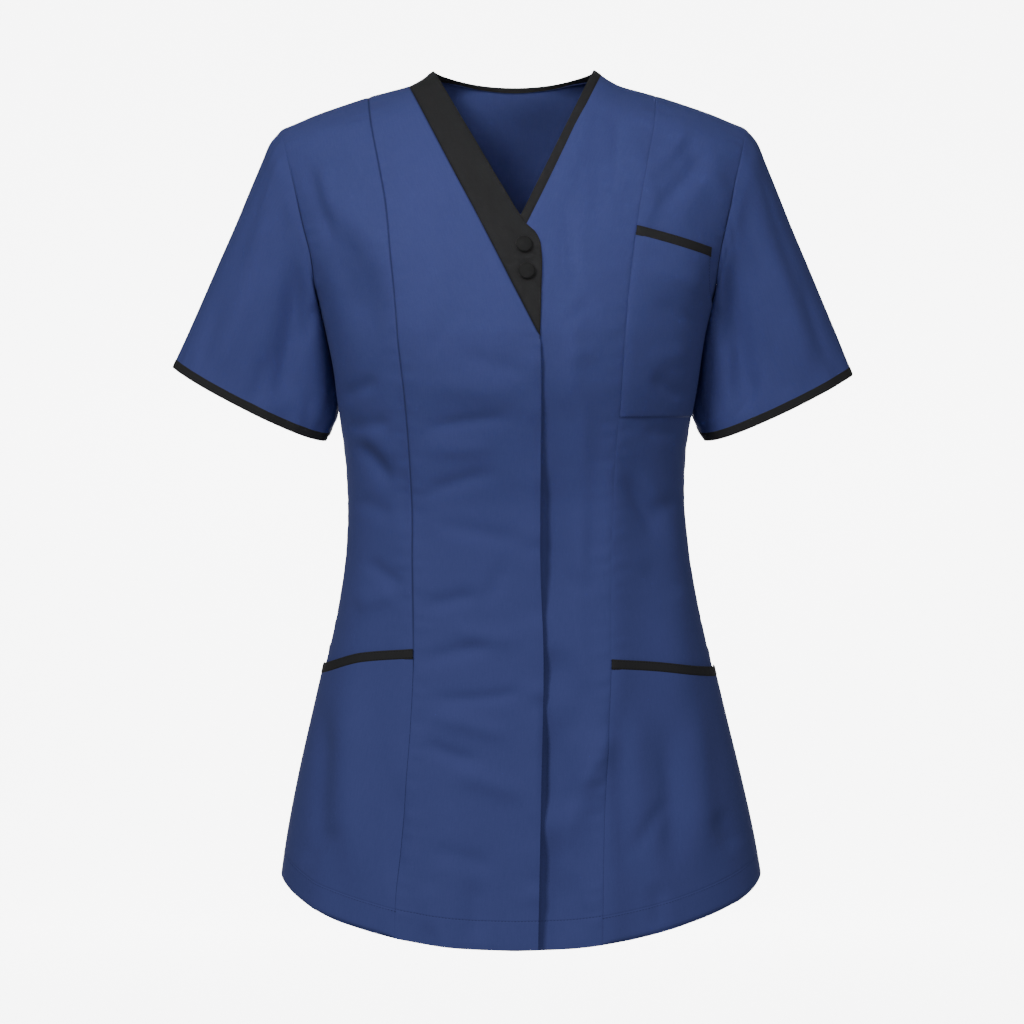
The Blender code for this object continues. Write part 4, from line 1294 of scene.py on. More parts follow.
@dataclass
class Sleeve:
    """A short sleeve sewn into the armhole, and the binding at its hem.

    Shares run from 0 at the armhole to 1 at the hem, and angles from 0 at the outer line
    forwards round the arm. Reach and drop stretch the outer line against its table.
    """

    bodice: Bodice
    hand: Hand
    reach: float
    drop: float
    folds: Sequence[Sequence[float]]
    back_dip: float = 0.5
    dip_round: float = 0.5
    dip_lean: float = 0.55
    overlap: float = 0.8
    flatness: float = 0.78
    girth: float = 330.0
    length: float = 215.0
    top_share: float = 0.12
    top_steps: int = 10
    lower_steps: int = 66
    taken_from: float = 0.8
    inner_reach: float = 16.0
    inner_flat: float = 0.85
    pucker_phase: float = 1.7
    pucker_reach: float = 20.0
    top_pucker_reach: float = 18.0
    pucker_fine: float = 0.35
    pucker_broad: float = 0.55
    top_pucker: float = 0.45
    sections: SizeTable = size_table(
        "share outer_x outer_z inner_z clear mid_y depth dip",
        (0, 197, -49, -197, 0, 2, 51, 0),
        (0.06, 207.3, -61, -202, 0, 3, 51, 0.6),
        (0.13, 213.4, -75, -209, -0.4, 4.5, 51.5, 1.2),
        (0.25, 224, -99.5, -221, -0.8, 7, 52, 2.9),
        (0.4, 237, -130, -239, -0.8, 10, 52, 5.1),
        (0.55, 250.5, -160, -256, -0.8, 12, 51.5, 7.3),
        (0.7, 264, -190.5, -273.5, -0.4, 13, 51, 9.6),
        (0.85, 277.5, -221, -290.5, 2.6, 13, 50, 11.8),
        (1, 291, -251, -307.5, 11.5, 13, 49, 13.6))

    def section(self, share: Array, angle: Array) -> Array:
        """Points of the sleeve's oval sections.

        Args:
            share: Shares of the sleeve's length.
            angle: Angles round it.

        Returns:
            The points.
        """
        form = self.bodice.form
        tip_x, tip_z = self.sections.at("outer_x", 0.0), self.sections.at("outer_z", 0.0)
        outer_x = tip_x + (self.sections.at("outer_x", share) - tip_x) * self.reach
        outer_z = tip_z + (self.sections.at("outer_z", share) - tip_z) * self.drop
        inner_z = self.sections.at("inner_z", share)
        inner_x = form.body.at("half_width", inner_z) + self.sections.at("clear", share)
        lean = form.shoulder_lean * (1.0 - share)
        middle_y = self.sections.at("mid_y", share)
        outer = np.stack([self.hand.value * outer_x + lean, middle_y, outer_z], axis=-1)
        inner = np.stack([self.hand.value * inner_x, middle_y, inner_z], axis=-1)
        forward = np.sin(angle)
        inward = np.maximum(0.5 - 0.5 * np.cos(angle), 0.0)
        curve = np.abs(forward) ** self.dip_round * inward ** self.dip_lean
        dip = self.sections.at("dip", share) * curve * np.where(forward > 0.0, 1.0, self.back_dip)
        points = 0.5 * (outer + inner) + 0.5 * (outer - inner) * np.cos(angle)[..., None]
        rounded = np.sign(forward) * np.abs(forward) ** self.flatness
        points[..., 1] -= self.sections.at("depth", share) * (forward + (rounded - forward) * share)
        points[..., 2] -= dip
        return points

    def build(self, front: Cloth, back: Cloth) -> tuple[Cloth, Cloth]:
        """Makes the sleeve and its binding on the body's own armhole.

        Args:
            front: The side front panel, its last column at the armhole.
            back: The back, its outer columns at the armholes.

        Returns:
            The sleeve and its binding, both tubes.
        """
        rows = self.bodice.form.dense_rows(self.bodice.spacing)
        count = int(np.searchsorted(rows, 1.0 - 1e-9)) + 1
        front_line = front.points[:count, -1]
        back_line = back.points[:count, 0 if self.hand is Hand.RIGHT else -1]
        ring = np.concatenate([front_line, back_line[-2:0:-1]])
        angles = np.concatenate([math.pi * self._along(front_line),
                                 FULL_TURN - math.pi * self._along(back_line)[-2:0:-1]])
        shares = np.concatenate([np.linspace(0.0, self.top_share, self.top_steps),
                                 np.linspace(self.top_share, 1.0, self.lower_steps)[1:]])
        share, angle = np.meshgrid(shares, angles, indexing="ij")
        start = self.section(np.zeros_like(angles), angles)
        points = self.section(share, angle) + (ring - start) * ((1.0 - share) ** 2)[..., None]
        fall = unit(points[-1] - points[-2])
        end = (share - self.taken_from) / (1.0 - self.taken_from)
        taken = smooth_step(end) * self.bodice.binding_width
        points = points - fall[None] * taken[..., None]
        cloth = Cloth(points, self._normals(points), tube=True)
        cloth = cloth.moved(self._folds(share, angle))
        cloth = cloth.marked(hem=np.full(share.shape, FAR))
        steps = np.array(STRIP_SHARES)[:, None, None]
        width = self.bodice.binding_width + self.overlap
        strip = cloth.points[-1] + fall * (width * steps - self.overlap)
        normal = np.array(np.broadcast_to(cloth.normals[-1], strip.shape))
        return cloth, Cloth(strip, normal, tube=True).folded(["top", "bottom"])

    @staticmethod
    def _along(line: Array) -> Array:
        """Share of a line's length at each of its points."""
        steps = np.linalg.norm(np.diff(line, axis=0), axis=1)
        return np.concatenate([[0.0], np.cumsum(steps)]) / steps.sum()

    def _normals(self, points: Array) -> Array:
        """Outward normals of rings of points.

        Args:
            points: The rings.

        Returns:
            A normal for each point.
        """
        around = np.roll(points, -1, axis=1) - np.roll(points, 1, axis=1)
        normals = unit(np.cross(around, np.gradient(points, axis=0)))
        outward = points[-1, 0] - points[-1].mean(axis=0)
        return normals if normals[-1, 0] @ outward > 0.0 else -normals

    def _folds(self, share: Array, angle: Array) -> Array:
        """Heights of the sleeve's soft folds and of the puckers at its seams.

        Args:
            share: Shares of the sleeve's length.
            angle: Angles round it.

        Returns:
            The height at each place.
        """
        height = np.zeros_like(share)
        for first, first_share, last, last_share, half_width, rise, bow in self.folds:
            fold = Crease(Side.FRONT, (first * self.girth, first_share * self.length),
                          (last * self.girth, last_share * self.length), half_width, rise, bow)
            height += fold.rise(angle / FULL_TURN * self.girth, share * self.length)
        from_inner = (angle / math.pi - 1.0) * 0.5 * self.girth
        inner = np.exp(-(from_inner / self.inner_reach) ** 2) * smooth_step((0.9 - share) / 0.15)
        height = height * (1.0 - self.inner_flat * inner)
        phase = self.hand.value * self.pucker_phase
        near_hem = np.exp(-((1.0 - share) * self.length / self.pucker_reach) ** 2)
        near_top = np.exp(-(share * self.length / self.top_pucker_reach) ** 2)
        near_top = smooth_step(share / 0.03) * near_top
        # Whole numbers of waves round the arm, so that they close.
        uneven = 0.6 + 0.4 * np.sin(4.0 * angle)
        fine = np.sin(19.0 * angle + 2.0 * np.sin(3.0 * angle + phase)) * uneven
        broad = np.sin(9.0 * angle + 1.4 * np.sin(2.0 * angle - phase))
        hem = self.pucker_fine * fine + self.pucker_broad * broad
        return height + near_hem * hem + near_top * self.top_pucker * fine


@dataclass
class Pocket:
    """A patch pocket laid on a side front, with the binding along its mouth.

    The mouth is z by distance from the middle. Last share is how much of the panel's width
    the pocket covers. Its sewn edges lie down and thin out by edge_fall and edge_pinch.
    """

    name: str
    hand: Hand
    mouth: SizeTable
    bottom: Edge
    rows: Rows = (("bottom", 21.0),)
    last_share: float = 1.0
    to_hem: bool = True
    binding_height: float = 8.3
    lift: float = 0.35
    wall: float = 1.2
    gape: float = 1.6
    gape_reach: float = 34.0
    puff: float = 0.8
    under_binding: float = 1.0
    spacing: float = 3.0
    binding_spacing: float = 1.2
    princess_reach: float = 9.0
    edge_reach: float = 3.0
    edge_fall: float = 0.7
    edge_pinch: float = 0.45

    def build(self, panel: Cloth) -> tuple[Cloth, Cloth]:
        """Makes the pocket and its mouth binding from the panel's own grid.

        Args:
            panel: The side front panel.

        Returns:
            The pocket and its binding.
        """
        def edge(below: float) -> Edge:
            """The pocket's mouth, lowered."""
            return lambda across: self.mouth.at("z", across) - below

        cloth = self._laid(panel, edge(self.binding_height - self.under_binding), self.bottom,
                           self.spacing)
        cloth = cloth.with_edge_lines(["first", "last", "bottom"])
        hem = cloth.from_edge("bottom") + (HEM_TURN if self.to_hem else FAR)
        # The seam mark paints a shadow beside the princess seam, the hem mark a faint shade at the
        # hem's stitching.
        cloth = cloth.marked(seam=cloth.from_edges(["first"]) + 0.75 * SEAM_SHADOW_WIDTH, hem=hem)
        across, down = cloth.steps()
        share, fall = across / across[:, [-1]], down / down[[-1]]
        middle = np.sin(math.pi * share)
        swell = self.gape * middle * np.exp(-(down / self.gape_reach) ** 2)
        cloth = cloth.moved(swell + self.puff * middle * np.sin(math.pi * fall))
        flat = np.maximum(cloth.near(["last", "bottom"], self.edge_reach),
                          cloth.near(["first"], self.princess_reach)) ** 2
        cloth = replace(cloth.moved(-self.edge_fall * flat), pinch=self.edge_pinch * flat)
        strip = self._laid(panel, edge(0.0), edge(self.binding_height), self.binding_spacing)
        strip = strip.with_edge_lines(["first", "last"])
        across, _ = strip.steps()
        strip = strip.moved(self.gape * np.sin(math.pi * across / across[:, [-1]]))
        return cloth, strip.folded(["first", "last", "top", "bottom"], 0.45, 1.8)

    def _laid(self, panel: Cloth, upper: Edge, lower: Edge, spacing: float) -> Cloth:
        """Grid on the panel between two edges.

        Args:
            panel: The side front panel.
            upper: Upper edge, as z by distance from the middle.
            lower: Lower edge.
            spacing: Distance between two rows.

        Returns:
            The cloth that lies there.
        """
        last = round((panel.points.shape[1] - 1) * self.last_share)
        lines, normals = panel.points[:, :last + 1], panel.normals[:, :last + 1]
        tops, ends = [], []
        index = np.arange(len(lines), dtype=float)
        for column in range(last + 1):
            line = lines[:, column]
            for found, wanted in ((tops, upper), (ends, lower)):
                over = line[:, 2] - wanted(np.abs(line[:, 0]))
                found.append(np.interp(0.0, -over, index))
        tops, ends = np.array(tops), np.array(ends)
        count = max(3, round(float((ends - tops).mean()) * PANEL_SPACING / spacing))
        at = tops + (ends - tops) * np.linspace(0.0, 1.0, count + 1)[:, None]
        low = np.clip(np.floor(at).astype(int), 0, len(lines) - 2)
        part = (at - low)[..., None]
        column = np.broadcast_to(np.arange(last + 1), low.shape)
        points = lines[low, column] * (1.0 - part) + lines[low + 1, column] * part
        facing = unit(normals[low, column] * (1.0 - part) + normals[low + 1, column] * part)
        return Cloth(points + facing * (self.lift + self.wall), facing)


# --- finishes

@dataclass(frozen=True)
class Value:
    """A number socket of a shader that adds Math nodes when it is used in an expression."""

    shader: "Shader"
    socket: bpy.types.NodeSocket

    def _math(self, operation: str, first: "Value | float", second: "Value | float") -> "Value":
        """Adds a Math node."""
        return self.shader.node("ShaderNodeMath", {"operation": operation}, {0: first, 1: second})

    def __add__(self, other: "Value | float") -> "Value":
        """Sum."""
        return self._math("ADD", self, other)

    __radd__ = __add__

    def __sub__(self, other: "Value | float") -> "Value":
        """Difference."""
        return self._math("SUBTRACT", self, other)

    def __mul__(self, other: "Value | float") -> "Value":
        """Product."""
        return self._math("MULTIPLY", self, other)

    def sine(self) -> "Value":
        """Sine of the value."""
        return self._math("SINE", self, 0.0)

    def size(self) -> "Value":
        """The value without its sign."""
        return self._math("ABSOLUTE", self, 0.0)


class Shader:
    """A material and its nodes."""

    def __init__(self, name: str) -> None:
        """Makes an empty node material.

        Args:
            name: Name of the material.
        """
        self.material = bpy.data.materials.new(name)
        self.material.use_nodes = True
        self.tree = self.material.node_tree
        self.tree.nodes.clear()

    def node(self, kind: str, settings: dict[str, object], inputs: dict[int | str, object],
             output: int | str = 0) -> Value:
        """Adds a node.

        Args:
            kind: Type of the node.
            settings: Properties of the node, set before its sockets.
            inputs: Values or links of its sockets, by name or index.
            output: The socket that is passed on.

        Returns:
            The output socket.
        """
        made = self.tree.nodes.new(kind)
        for key, setting in settings.items():
            setattr(made, key, setting)
        for key, given in inputs.items():
            if isinstance(given, Value):
                self.tree.links.new(given.socket, made.inputs[key])
            else:
                made.inputs[key].default_value = given
        return Value(self, made.outputs[output])

    def place(self) -> Value:
        """Object coordinates, in metres."""
        return self.node("ShaderNodeTexCoord", {}, {}, "Object")

    def cloth_place(self) -> Value:
        """The cloth's own flat measure, in metres."""
        return self.node("ShaderNodeUVMap", {"uv_map": "cloth"}, {})

    def mark(self, name: str) -> Value:
        """A distance that the mesh carries, in metres."""
        return self.node("ShaderNodeAttribute", {"attribute_name": name}, {}, "Fac")

    def line(self, distance: Value, width: float) -> Value:
        """One where a distance is zero, falling to zero at a width, in metres."""
        return self.node("ShaderNodeMapRange", {"interpolation_type": "SMOOTHSTEP"}, {
            "Value": distance.size(), "From Max": width, "To Min": 1.0, "To Max": 0.0})

    def noise(self, vector: Value, scale: float, detail: float = 3.0,
              roughness: float = 0.5) -> Value:
        """Noise from 0 to 1 around 0.5."""
        return self.node("ShaderNodeTexNoise", {}, {
            "Vector": vector, "Scale": scale, "Detail": detail, "Roughness": roughness})

    def stretched(self, vector: Value, scale: Triple) -> Value:
        """A vector scaled by axis."""
        return self.node("ShaderNodeVectorMath", {"operation": "MULTIPLY"}, {0: vector, 1: scale})

    def blend(self, factor: Value, first: Triple | Value, second: Triple | Value) -> Value:
        """Mixes two colours.

        Args:
            factor: Share of the second colour.
            first: Colour at 0.
            second: Colour at 1.

        Returns:
            The mixed colour.
        """
        given = {0: factor}
        for key, colour in ((6, first), (7, second)):
            given[key] = colour if isinstance(colour, Value) else (*colour, 1.0)
        return self.node("ShaderNodeMix", {"data_type": "RGBA"}, given, 2)

    def surface(self, inputs: dict[str, object]) -> Material:
        """Ends the tree in a principled surface.

        Args:
            inputs: Values or links of the surface's sockets.

        Returns:
            The finished material.
        """
        skin = self.node("ShaderNodeBsdfPrincipled", {}, inputs)
        end = self.tree.nodes.new("ShaderNodeOutputMaterial")
        self.tree.links.new(skin.socket, end.inputs["Surface"])
        return self.material


@dataclass(frozen=True)
class WovenFinish:
    """Plain woven cloth with a fine weave, a little unevenness, a soft nap and painted shade along
    its seams and the hem's stitching.

    Lengths are in metres, and scales are marks to a metre.
    """

    name: str
    colour: Triple
    light_colour: Triple
    roughness: float
    thread: float = 0.00045
    weave_depth: float = 0.00003
    crumple_depth: float = 0.0004
    slub_scale: Triple = (900.0, 90.0, 1.0)
    cloud_scale: float = 22.0
    grain_scale: float = 900.0
    crumple_scale: float = 140.0
    hem_width: float = 0.024
    hem_line: float = 0.0011
    hem_depth: float = 0.0003
    # Painted shade: how much the hem line and the seam lines darken, and how dark their shade
    # colour is.
    painted_hem_shade: float = 0.08
    painted_seam_shadow: float = 0.8
    painted_shade_share: float = 0.42
    sheen: float = 0.05
    sheen_colour: Triple = (0.5, 0.6, 0.9)

    def make(self) -> Material:
        """Builds the material.

        Returns:
            The material.
        """
        shader = Shader(self.name)
        place, cloth = shader.place(), shader.cloth_place()
        turns = math.pi / self.thread
        split = shader.node("ShaderNodeSeparateXYZ", {}, {0: cloth})
        across = Value(shader, split.socket.node.outputs[0])
        down = Value(shader, split.socket.node.outputs[1])
        weave = (across * turns).sine() * (down * turns).sine()
        slub = shader.noise(shader.stretched(cloth, self.slub_scale), 1.0, 2.0)
        cloud = shader.noise(place, self.cloud_scale, 3.0, 0.55)
        grain = shader.noise(place, self.grain_scale, 2.0)
        shade = weave * 0.1 + slub * 0.35 + cloud * 0.35 + grain * 0.3
        colour = shader.blend(shade, self.colour, self.light_colour)
        # Painted shade: a faint dark line along the hem's stitched groove.
        hem = shader.line(shader.mark("hem") - self.hem_width, self.hem_line)
        # Painted shadow: a dark line along every seam, where the cloth turns in.
        seam = shader.line(shader.mark("seam"), SEAM_SHADOW_WIDTH * MM)
        painted_shade_colour = tuple(self.painted_shade_share * part for part in self.colour)
        seam_shadow_mix, hem_shade_mix = seam * self.painted_seam_shadow, hem * self.painted_hem_shade
        colour = shader.blend(hem_shade_mix, colour, painted_shade_colour)
        colour = shader.blend(seam_shadow_mix, colour, painted_shade_colour)
        fine = shader.noise(place, self.crumple_scale, 3.0, 0.6)
        crumple = shader.node("ShaderNodeBump", {}, {
            "Height": fine * self.crumple_depth - hem * self.hem_depth, "Distance": 1.0,
            "Strength": 0.5})
        normal = shader.node("ShaderNodeBump", {}, {
            "Height": (weave + slub) * self.weave_depth, "Distance": 1.0, "Strength": 0.6,
            "Normal": crumple})
        return shader.surface({
            "Base Color": colour, "Roughness": self.roughness + (cloud - 0.5) * 0.08,
            "Normal": normal, "Sheen Weight": self.sheen, "Sheen Roughness": 0.45,
            "Sheen Tint": (*self.sheen_colour, 1.0), "Specular IOR Level": 0.25})


@dataclass(frozen=True)
class BackdropFinish:
    """Plain pale studio paper that glows softly."""

    name: str
    colour: Triple
    mottle_scale: float = 3.0
    mottle_share: float = 0.985
    glow: float = 7.0

    def make(self) -> Material:
        """Builds the material.

        Returns:
            The material.
        """
        shader = Shader(self.name)
        mottle = shader.noise(shader.place(), self.mottle_scale)
        second = tuple(self.mottle_share * part for part in self.colour)
        colour = shader.blend(mottle, self.colour, second)
        return shader.surface({"Base Color": colour, "Roughness": 0.95, "Emission Color": colour,
                               "Emission Strength": self.glow})


# --- studio

@dataclass
class Studio:
    """Camera, soft lights and the pale backdrop, in metres."""

    centre: Triple = (-0.0025, 0.0, -0.374)
    eye: Triple = (-0.0025, -3.2, -0.27)
    view_width: float = 0.870
    sensor: float = 36.0
    floor_z: float = -1.25
    floor_front: float = 1.5
    wall_y: float = 4.5
    wall_top: float = 0.95
    paper_half: float = 1.25
    corner: float = 0.9
    corner_steps: int = 12
    room_light: float = 0.17

    def camera(self) -> None:
        """Creates the camera of the photograph and makes it the scene's."""
        data = bpy.data.cameras.new("camera")
        data.sensor_width = self.sensor
        reach = math.dist(self.centre, self.eye)
        data.lens = self.sensor * reach / self.view_width
        data.dof.use_dof = False
        bpy.context.scene.camera = self.aimed("camera", data, self.eye, self.centre)

    @staticmethod
    def aimed(name: str, data: bpy.types.ID, place: Triple, aim: Triple) -> Item:
        """Places a camera or a light.

        Args:
            name: Name of the object.
            data: The camera or light.
            place: Where it stands.
            aim: What it faces.

        Returns:
            The object.
        """
        item = linked(name, data)
        item.location = place
        towards = Vector(aim) - Vector(place)
        item.rotation_euler = towards.to_track_quat("-Z", "Y").to_euler()
        return item

    def lamp(self, name: str, place: Triple, size: float, power: float, spread: float = 180.0,
             aim: Triple | None = None) -> None:
        """Adds a square area light.

        Args:
            name: Name of the light.
            place: Where it stands.
            size: Length of its sides.
            power: Watts.
            spread: Angle of its beam in degrees.
            aim: What it faces, the garment's middle when not given.
        """
        data = bpy.data.lights.new(name, "AREA")
        data.size = size
        data.energy = power
        data.spread = math.radians(spread)
        self.aimed(name, data, place, aim or self.centre)

    def backdrop(self, finish: BackdropFinish) -> None:
        """Floor and wall in one sheet with a rounded corner.

        Args:
            finish: The sheet's finish.
        """
        turn_y = self.wall_y - self.corner
        profile = [(self.floor_front, self.floor_z), (turn_y, self.floor_z)]
        for k in range(1, self.corner_steps + 1):
            turn = 0.5 * math.pi * k / self.corner_steps
            profile.append((turn_y + self.corner * math.sin(turn),
                            self.floor_z + self.corner - self.corner * math.cos(turn)))
        profile.append((self.wall_y, self.wall_top))
        vertices = [(x, y, z) for y, z in profile for x in (-self.paper_half, self.paper_half)]
        faces = [(2 * i, 2 * i + 1, 2 * i + 3, 2 * i + 2) for i in range(len(profile) - 1)]
        mesh = bpy.data.meshes.new("backdrop")
        mesh.from_pydata(vertices, [], faces)
        mesh.shade_smooth()
        mesh.materials.append(finish.make())
        linked("backdrop", mesh)

    def light(self) -> None:
        """Soft key, fill and top light, a faint spot on the chest, and an even room light."""
        self.lamp("key", (-1.45, -2.5, 1.35), 0.75, 49.0)
        self.lamp("fill", (1.5, -2.8, 0.1), 0.9, 17.0)
        self.lamp("top", (-0.1, -1.9, 1.6), 0.6, 6.0)
        self.lamp("chest", (-0.3, -2.8, 1.1), 0.2, 0.045, spread=9.0, aim=(0.0, 0.0, -0.14))
        world = bpy.data.worlds.new("studio")
        world.use_nodes = True
        ground = world.node_tree.nodes["Background"]
        ground.inputs["Color"].default_value = (1.0, 1.0, 1.0, 1.0)
        ground.inputs["Strength"].default_value = self.room_light
        bpy.context.scene.world = world


# --- the tunic

@dataclass
class CoveredButton:
    """A small domed button covered in the band's cloth.

    The edge is the height of its rim, and the gap is how far it stands off the form.
    """

    name: str
    place: tuple[float, float]
    radius: float = 7.0
    height: float = 3.6
    edge: float = 1.8
    gap: float = 0.8
    steps: int = 48
    dome_steps: int = 12
    rim: tuple[tuple[float, float], ...] = ((0.99, 1.08), (0.94, 0.25), (0.85, 0.0))

    def profile(self) -> list[tuple[float, float]]:
        """Radius and height of each ring, from the dome's first one to the foot.

        Returns:
            The rings in millimetres.
        """
        rings = []
        for k in range(1, self.dome_steps + 1):
            turn = 0.5 * math.pi * k / self.dome_steps
            rise = self.edge + (self.height - self.edge) * math.cos(turn) ** 0.8
            rings.append((self.radius * math.sin(turn) ** 0.9, rise))
        return rings + [(self.radius * share, rise) for share, rise in self.rim]

    def build(self, bodice: Bodice) -> Item:
        """Turns the button's profile about the band's normal.

        Args:
            bodice: The body that the button sits on.

        Returns:
            The object.
        """
        x, z = np.array(self.place[0]), np.array(self.place[1])
        point = bodice.form.smooth_points(x, z, Side.FRONT)
        normal = bodice.form.normals(point, Side.FRONT)
        turned = Vector(normal).to_track_quat("Z", "Y")
        origin = Vector((point + normal * self.gap) * MM)
        bm = bmesh.new()
        rings = []
        for radius, rise in self.profile():
            ring = []
            for k in range(self.steps):
                turn = FULL_TURN * k / self.steps
                spot = Vector((radius * math.cos(turn), radius * math.sin(turn), rise)) * MM
                ring.append(bm.verts.new(origin + turned @ spot))
            rings.append(ring)
        crown = bm.verts.new(origin + turned @ Vector((0.0, 0.0, self.height * MM)))
        foot = bm.verts.new(origin)
        pairs = [(k, (k + 1) % self.steps) for k in range(self.steps)]
        for first, second in zip(rings, rings[1:]):
            for k, after in pairs:
                bm.faces.new((first[k], second[k], second[after], first[after]))
        for k, after in pairs:
            bm.faces.new((crown, rings[0][k], rings[0][after]))
            bm.faces.new((foot, rings[-1][after], rings[-1][k]))
        bmesh.ops.recalc_face_normals(bm, faces=bm.faces)
        layer = bm.loops.layers.uv.new("cloth")
        for face in bm.faces:
            for loop in face.loops:
                flat = turned.inverted() @ (loop.vert.co - origin)
                loop[layer].uv = (flat.x, flat.y)
        mesh = bpy.data.meshes.new(self.name)
        bm.to_mesh(mesh)
        bm.free()
        mesh.shade_smooth()
        return linked(self.name, mesh)


@dataclass
class Tunic:
    """The whole garment: its pieces and their finishes."""

    blue: Material
    black: Material
    button_cloth: Material
    bodice: Bodice
    blue_rows: StitchRows = field(default_factory=lambda: StitchRows("stitches_blue"))
    black_rows: StitchRows = field(default_factory=lambda: StitchRows("stitches_black"))
    hem_rows: Rows = (("bottom", 24.0),)
    band_rows: Rows = (("last", 1.4), ("first", 1.6))
    binding_row: float = 1.2

    def add(self, node: str, item: Item, finish: Material, slot: str) -> None:
        """Dresses a piece, lets it ride and stands it in for its CAD node.

        Args:
            node: The CAD node.
            item: The piece.
            finish: Its material.
            slot: Not used.
        """
        item.data.materials.clear()
        item.data.materials.append(finish)
        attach(item, BODY_NAME)
        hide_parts(node)
        log.info("%s: %d faces", node, len(item.data.polygons))

    def sheet(self, node: str, cloth: Cloth, shell: Shell, black: bool, rows: Rows = ()) -> None:
        """Args:
            node: The CAD node that it stands for.
            cloth: The grid of its outer points.
            shell: How its wall is made.
            black: Whether it is trim.
            rows: Edges that carry a row of stitches and how far in it lies.
        """
        for edge, distance in rows:
            (self.black_rows if black else self.blue_rows).follow(cloth, edge, distance, shell)
        item = shell.build(node + "_cloth", cloth)
        finish, slot = (self.black, "trim_black") if black else (self.blue, "cloth_blue")
        self.add(node, item, finish, slot)
        width, length, area = self.cut(cloth)
        if min(width, length) < STRIP_LIMIT:
            width, length = (size + STRIP_TURN if size < STRIP_LIMIT else size
                             for size in (width, length))
            width * MM
            length * MM
        else:
            width * MM
            length * MM

    def build(self) -> None:
        """Builds all pieces in the order a maker would sew them."""
        wall, raised = Shell(), Shell(1.8, BINDING_PROUD)
        panels = {}
        for hand in Hand:
            panels["front_side_" + hand.word] = self.bodice.front_side(hand)
            panels["front_centre_" + hand.word] = self.bodice.front_centre(hand)
        panels["back"] = self.bodice.back()
        for name, cloth in panels.items():
            self.sheet(name, self.bodice.sewn(name, cloth), wall, False, self.hem_rows)
        trim = NeckTrim(self.bodice)
        self.sheet("neck_band", trim.band(), wall, True, self.band_rows)
        self.sheet("neck_binding", trim.binding(), Shell(1.0, BINDING_PROUD), True,
                   [("last", self.binding_row)])
        for hand, (reach, drop, folds) in SLEEVES.items():
            sleeve = Sleeve(self.bodice, hand, reach, drop, SLEEVE_FOLDS + folds)
            cloth, strip = sleeve.build(panels["front_side_" + hand.word], panels["back"])
            faint = {"top": self.bodice.faint["armhole"]}
            cloth = cloth.sewn(["top"], open_arm=True, faint=faint)
            self.sheet("sleeve_" + hand.word, cloth, wall, False)
            self.sheet("sleeve_binding_" + hand.word, strip, raised, True,
                       [("top", self.binding_row)])
        for pocket in POCKETS:
            cloth, strip = pocket.build(panels["front_side_" + pocket.hand.word])
            self.sheet(pocket.name, cloth, Shell(pocket.wall), False, pocket.rows)
            raised = Shell(pocket.wall + BINDING_PROUD, BINDING_PROUD)
            self.sheet(pocket.name + "_binding", strip, raised, True,
                       [(edge, self.binding_row) for edge in ("top", "bottom")])
        for name, place in BUTTONS:
            item = CoveredButton(name + "_cover", place).build(self.bodice)
            self.add(name, item, self.button_cloth, "button_black")
        for sewn, finish, slot in ((self.blue_rows, self.blue, "cloth_blue"),
                                   (self.black_rows, self.black, "trim_black")):
            item = sewn.build(finish)
            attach(item, BODY_NAME)
            log.info("%s: %d faces", sewn.name, len(item.data.polygons))

    @staticmethod
    def cut(cloth: Cloth) -> Triple:
        """Measures the cloth laid flat.

        Args:
            cloth: The piece.

        Returns:
            Its width and length in millimetres, and its area in square millimetres.
        """
        points = cloth.points
        if cloth.tube:
            points = np.concatenate([points, points[:, :1]], axis=1)
        across, down = np.diff(points, axis=1), np.diff(points, axis=0)
        width = np.linalg.norm(across, axis=-1).sum(axis=1).max()
        length = np.linalg.norm(down, axis=-1).sum(axis=0).max()
        area = 0.5 * (np.linalg.norm(np.cross(across[:-1], down[:, :-1]), axis=-1).sum()
                      + np.linalg.norm(np.cross(across[1:], down[:, 1:]), axis=-1).sum())
        return float(width), float(length), float(area)


# --- creases, folds, pockets

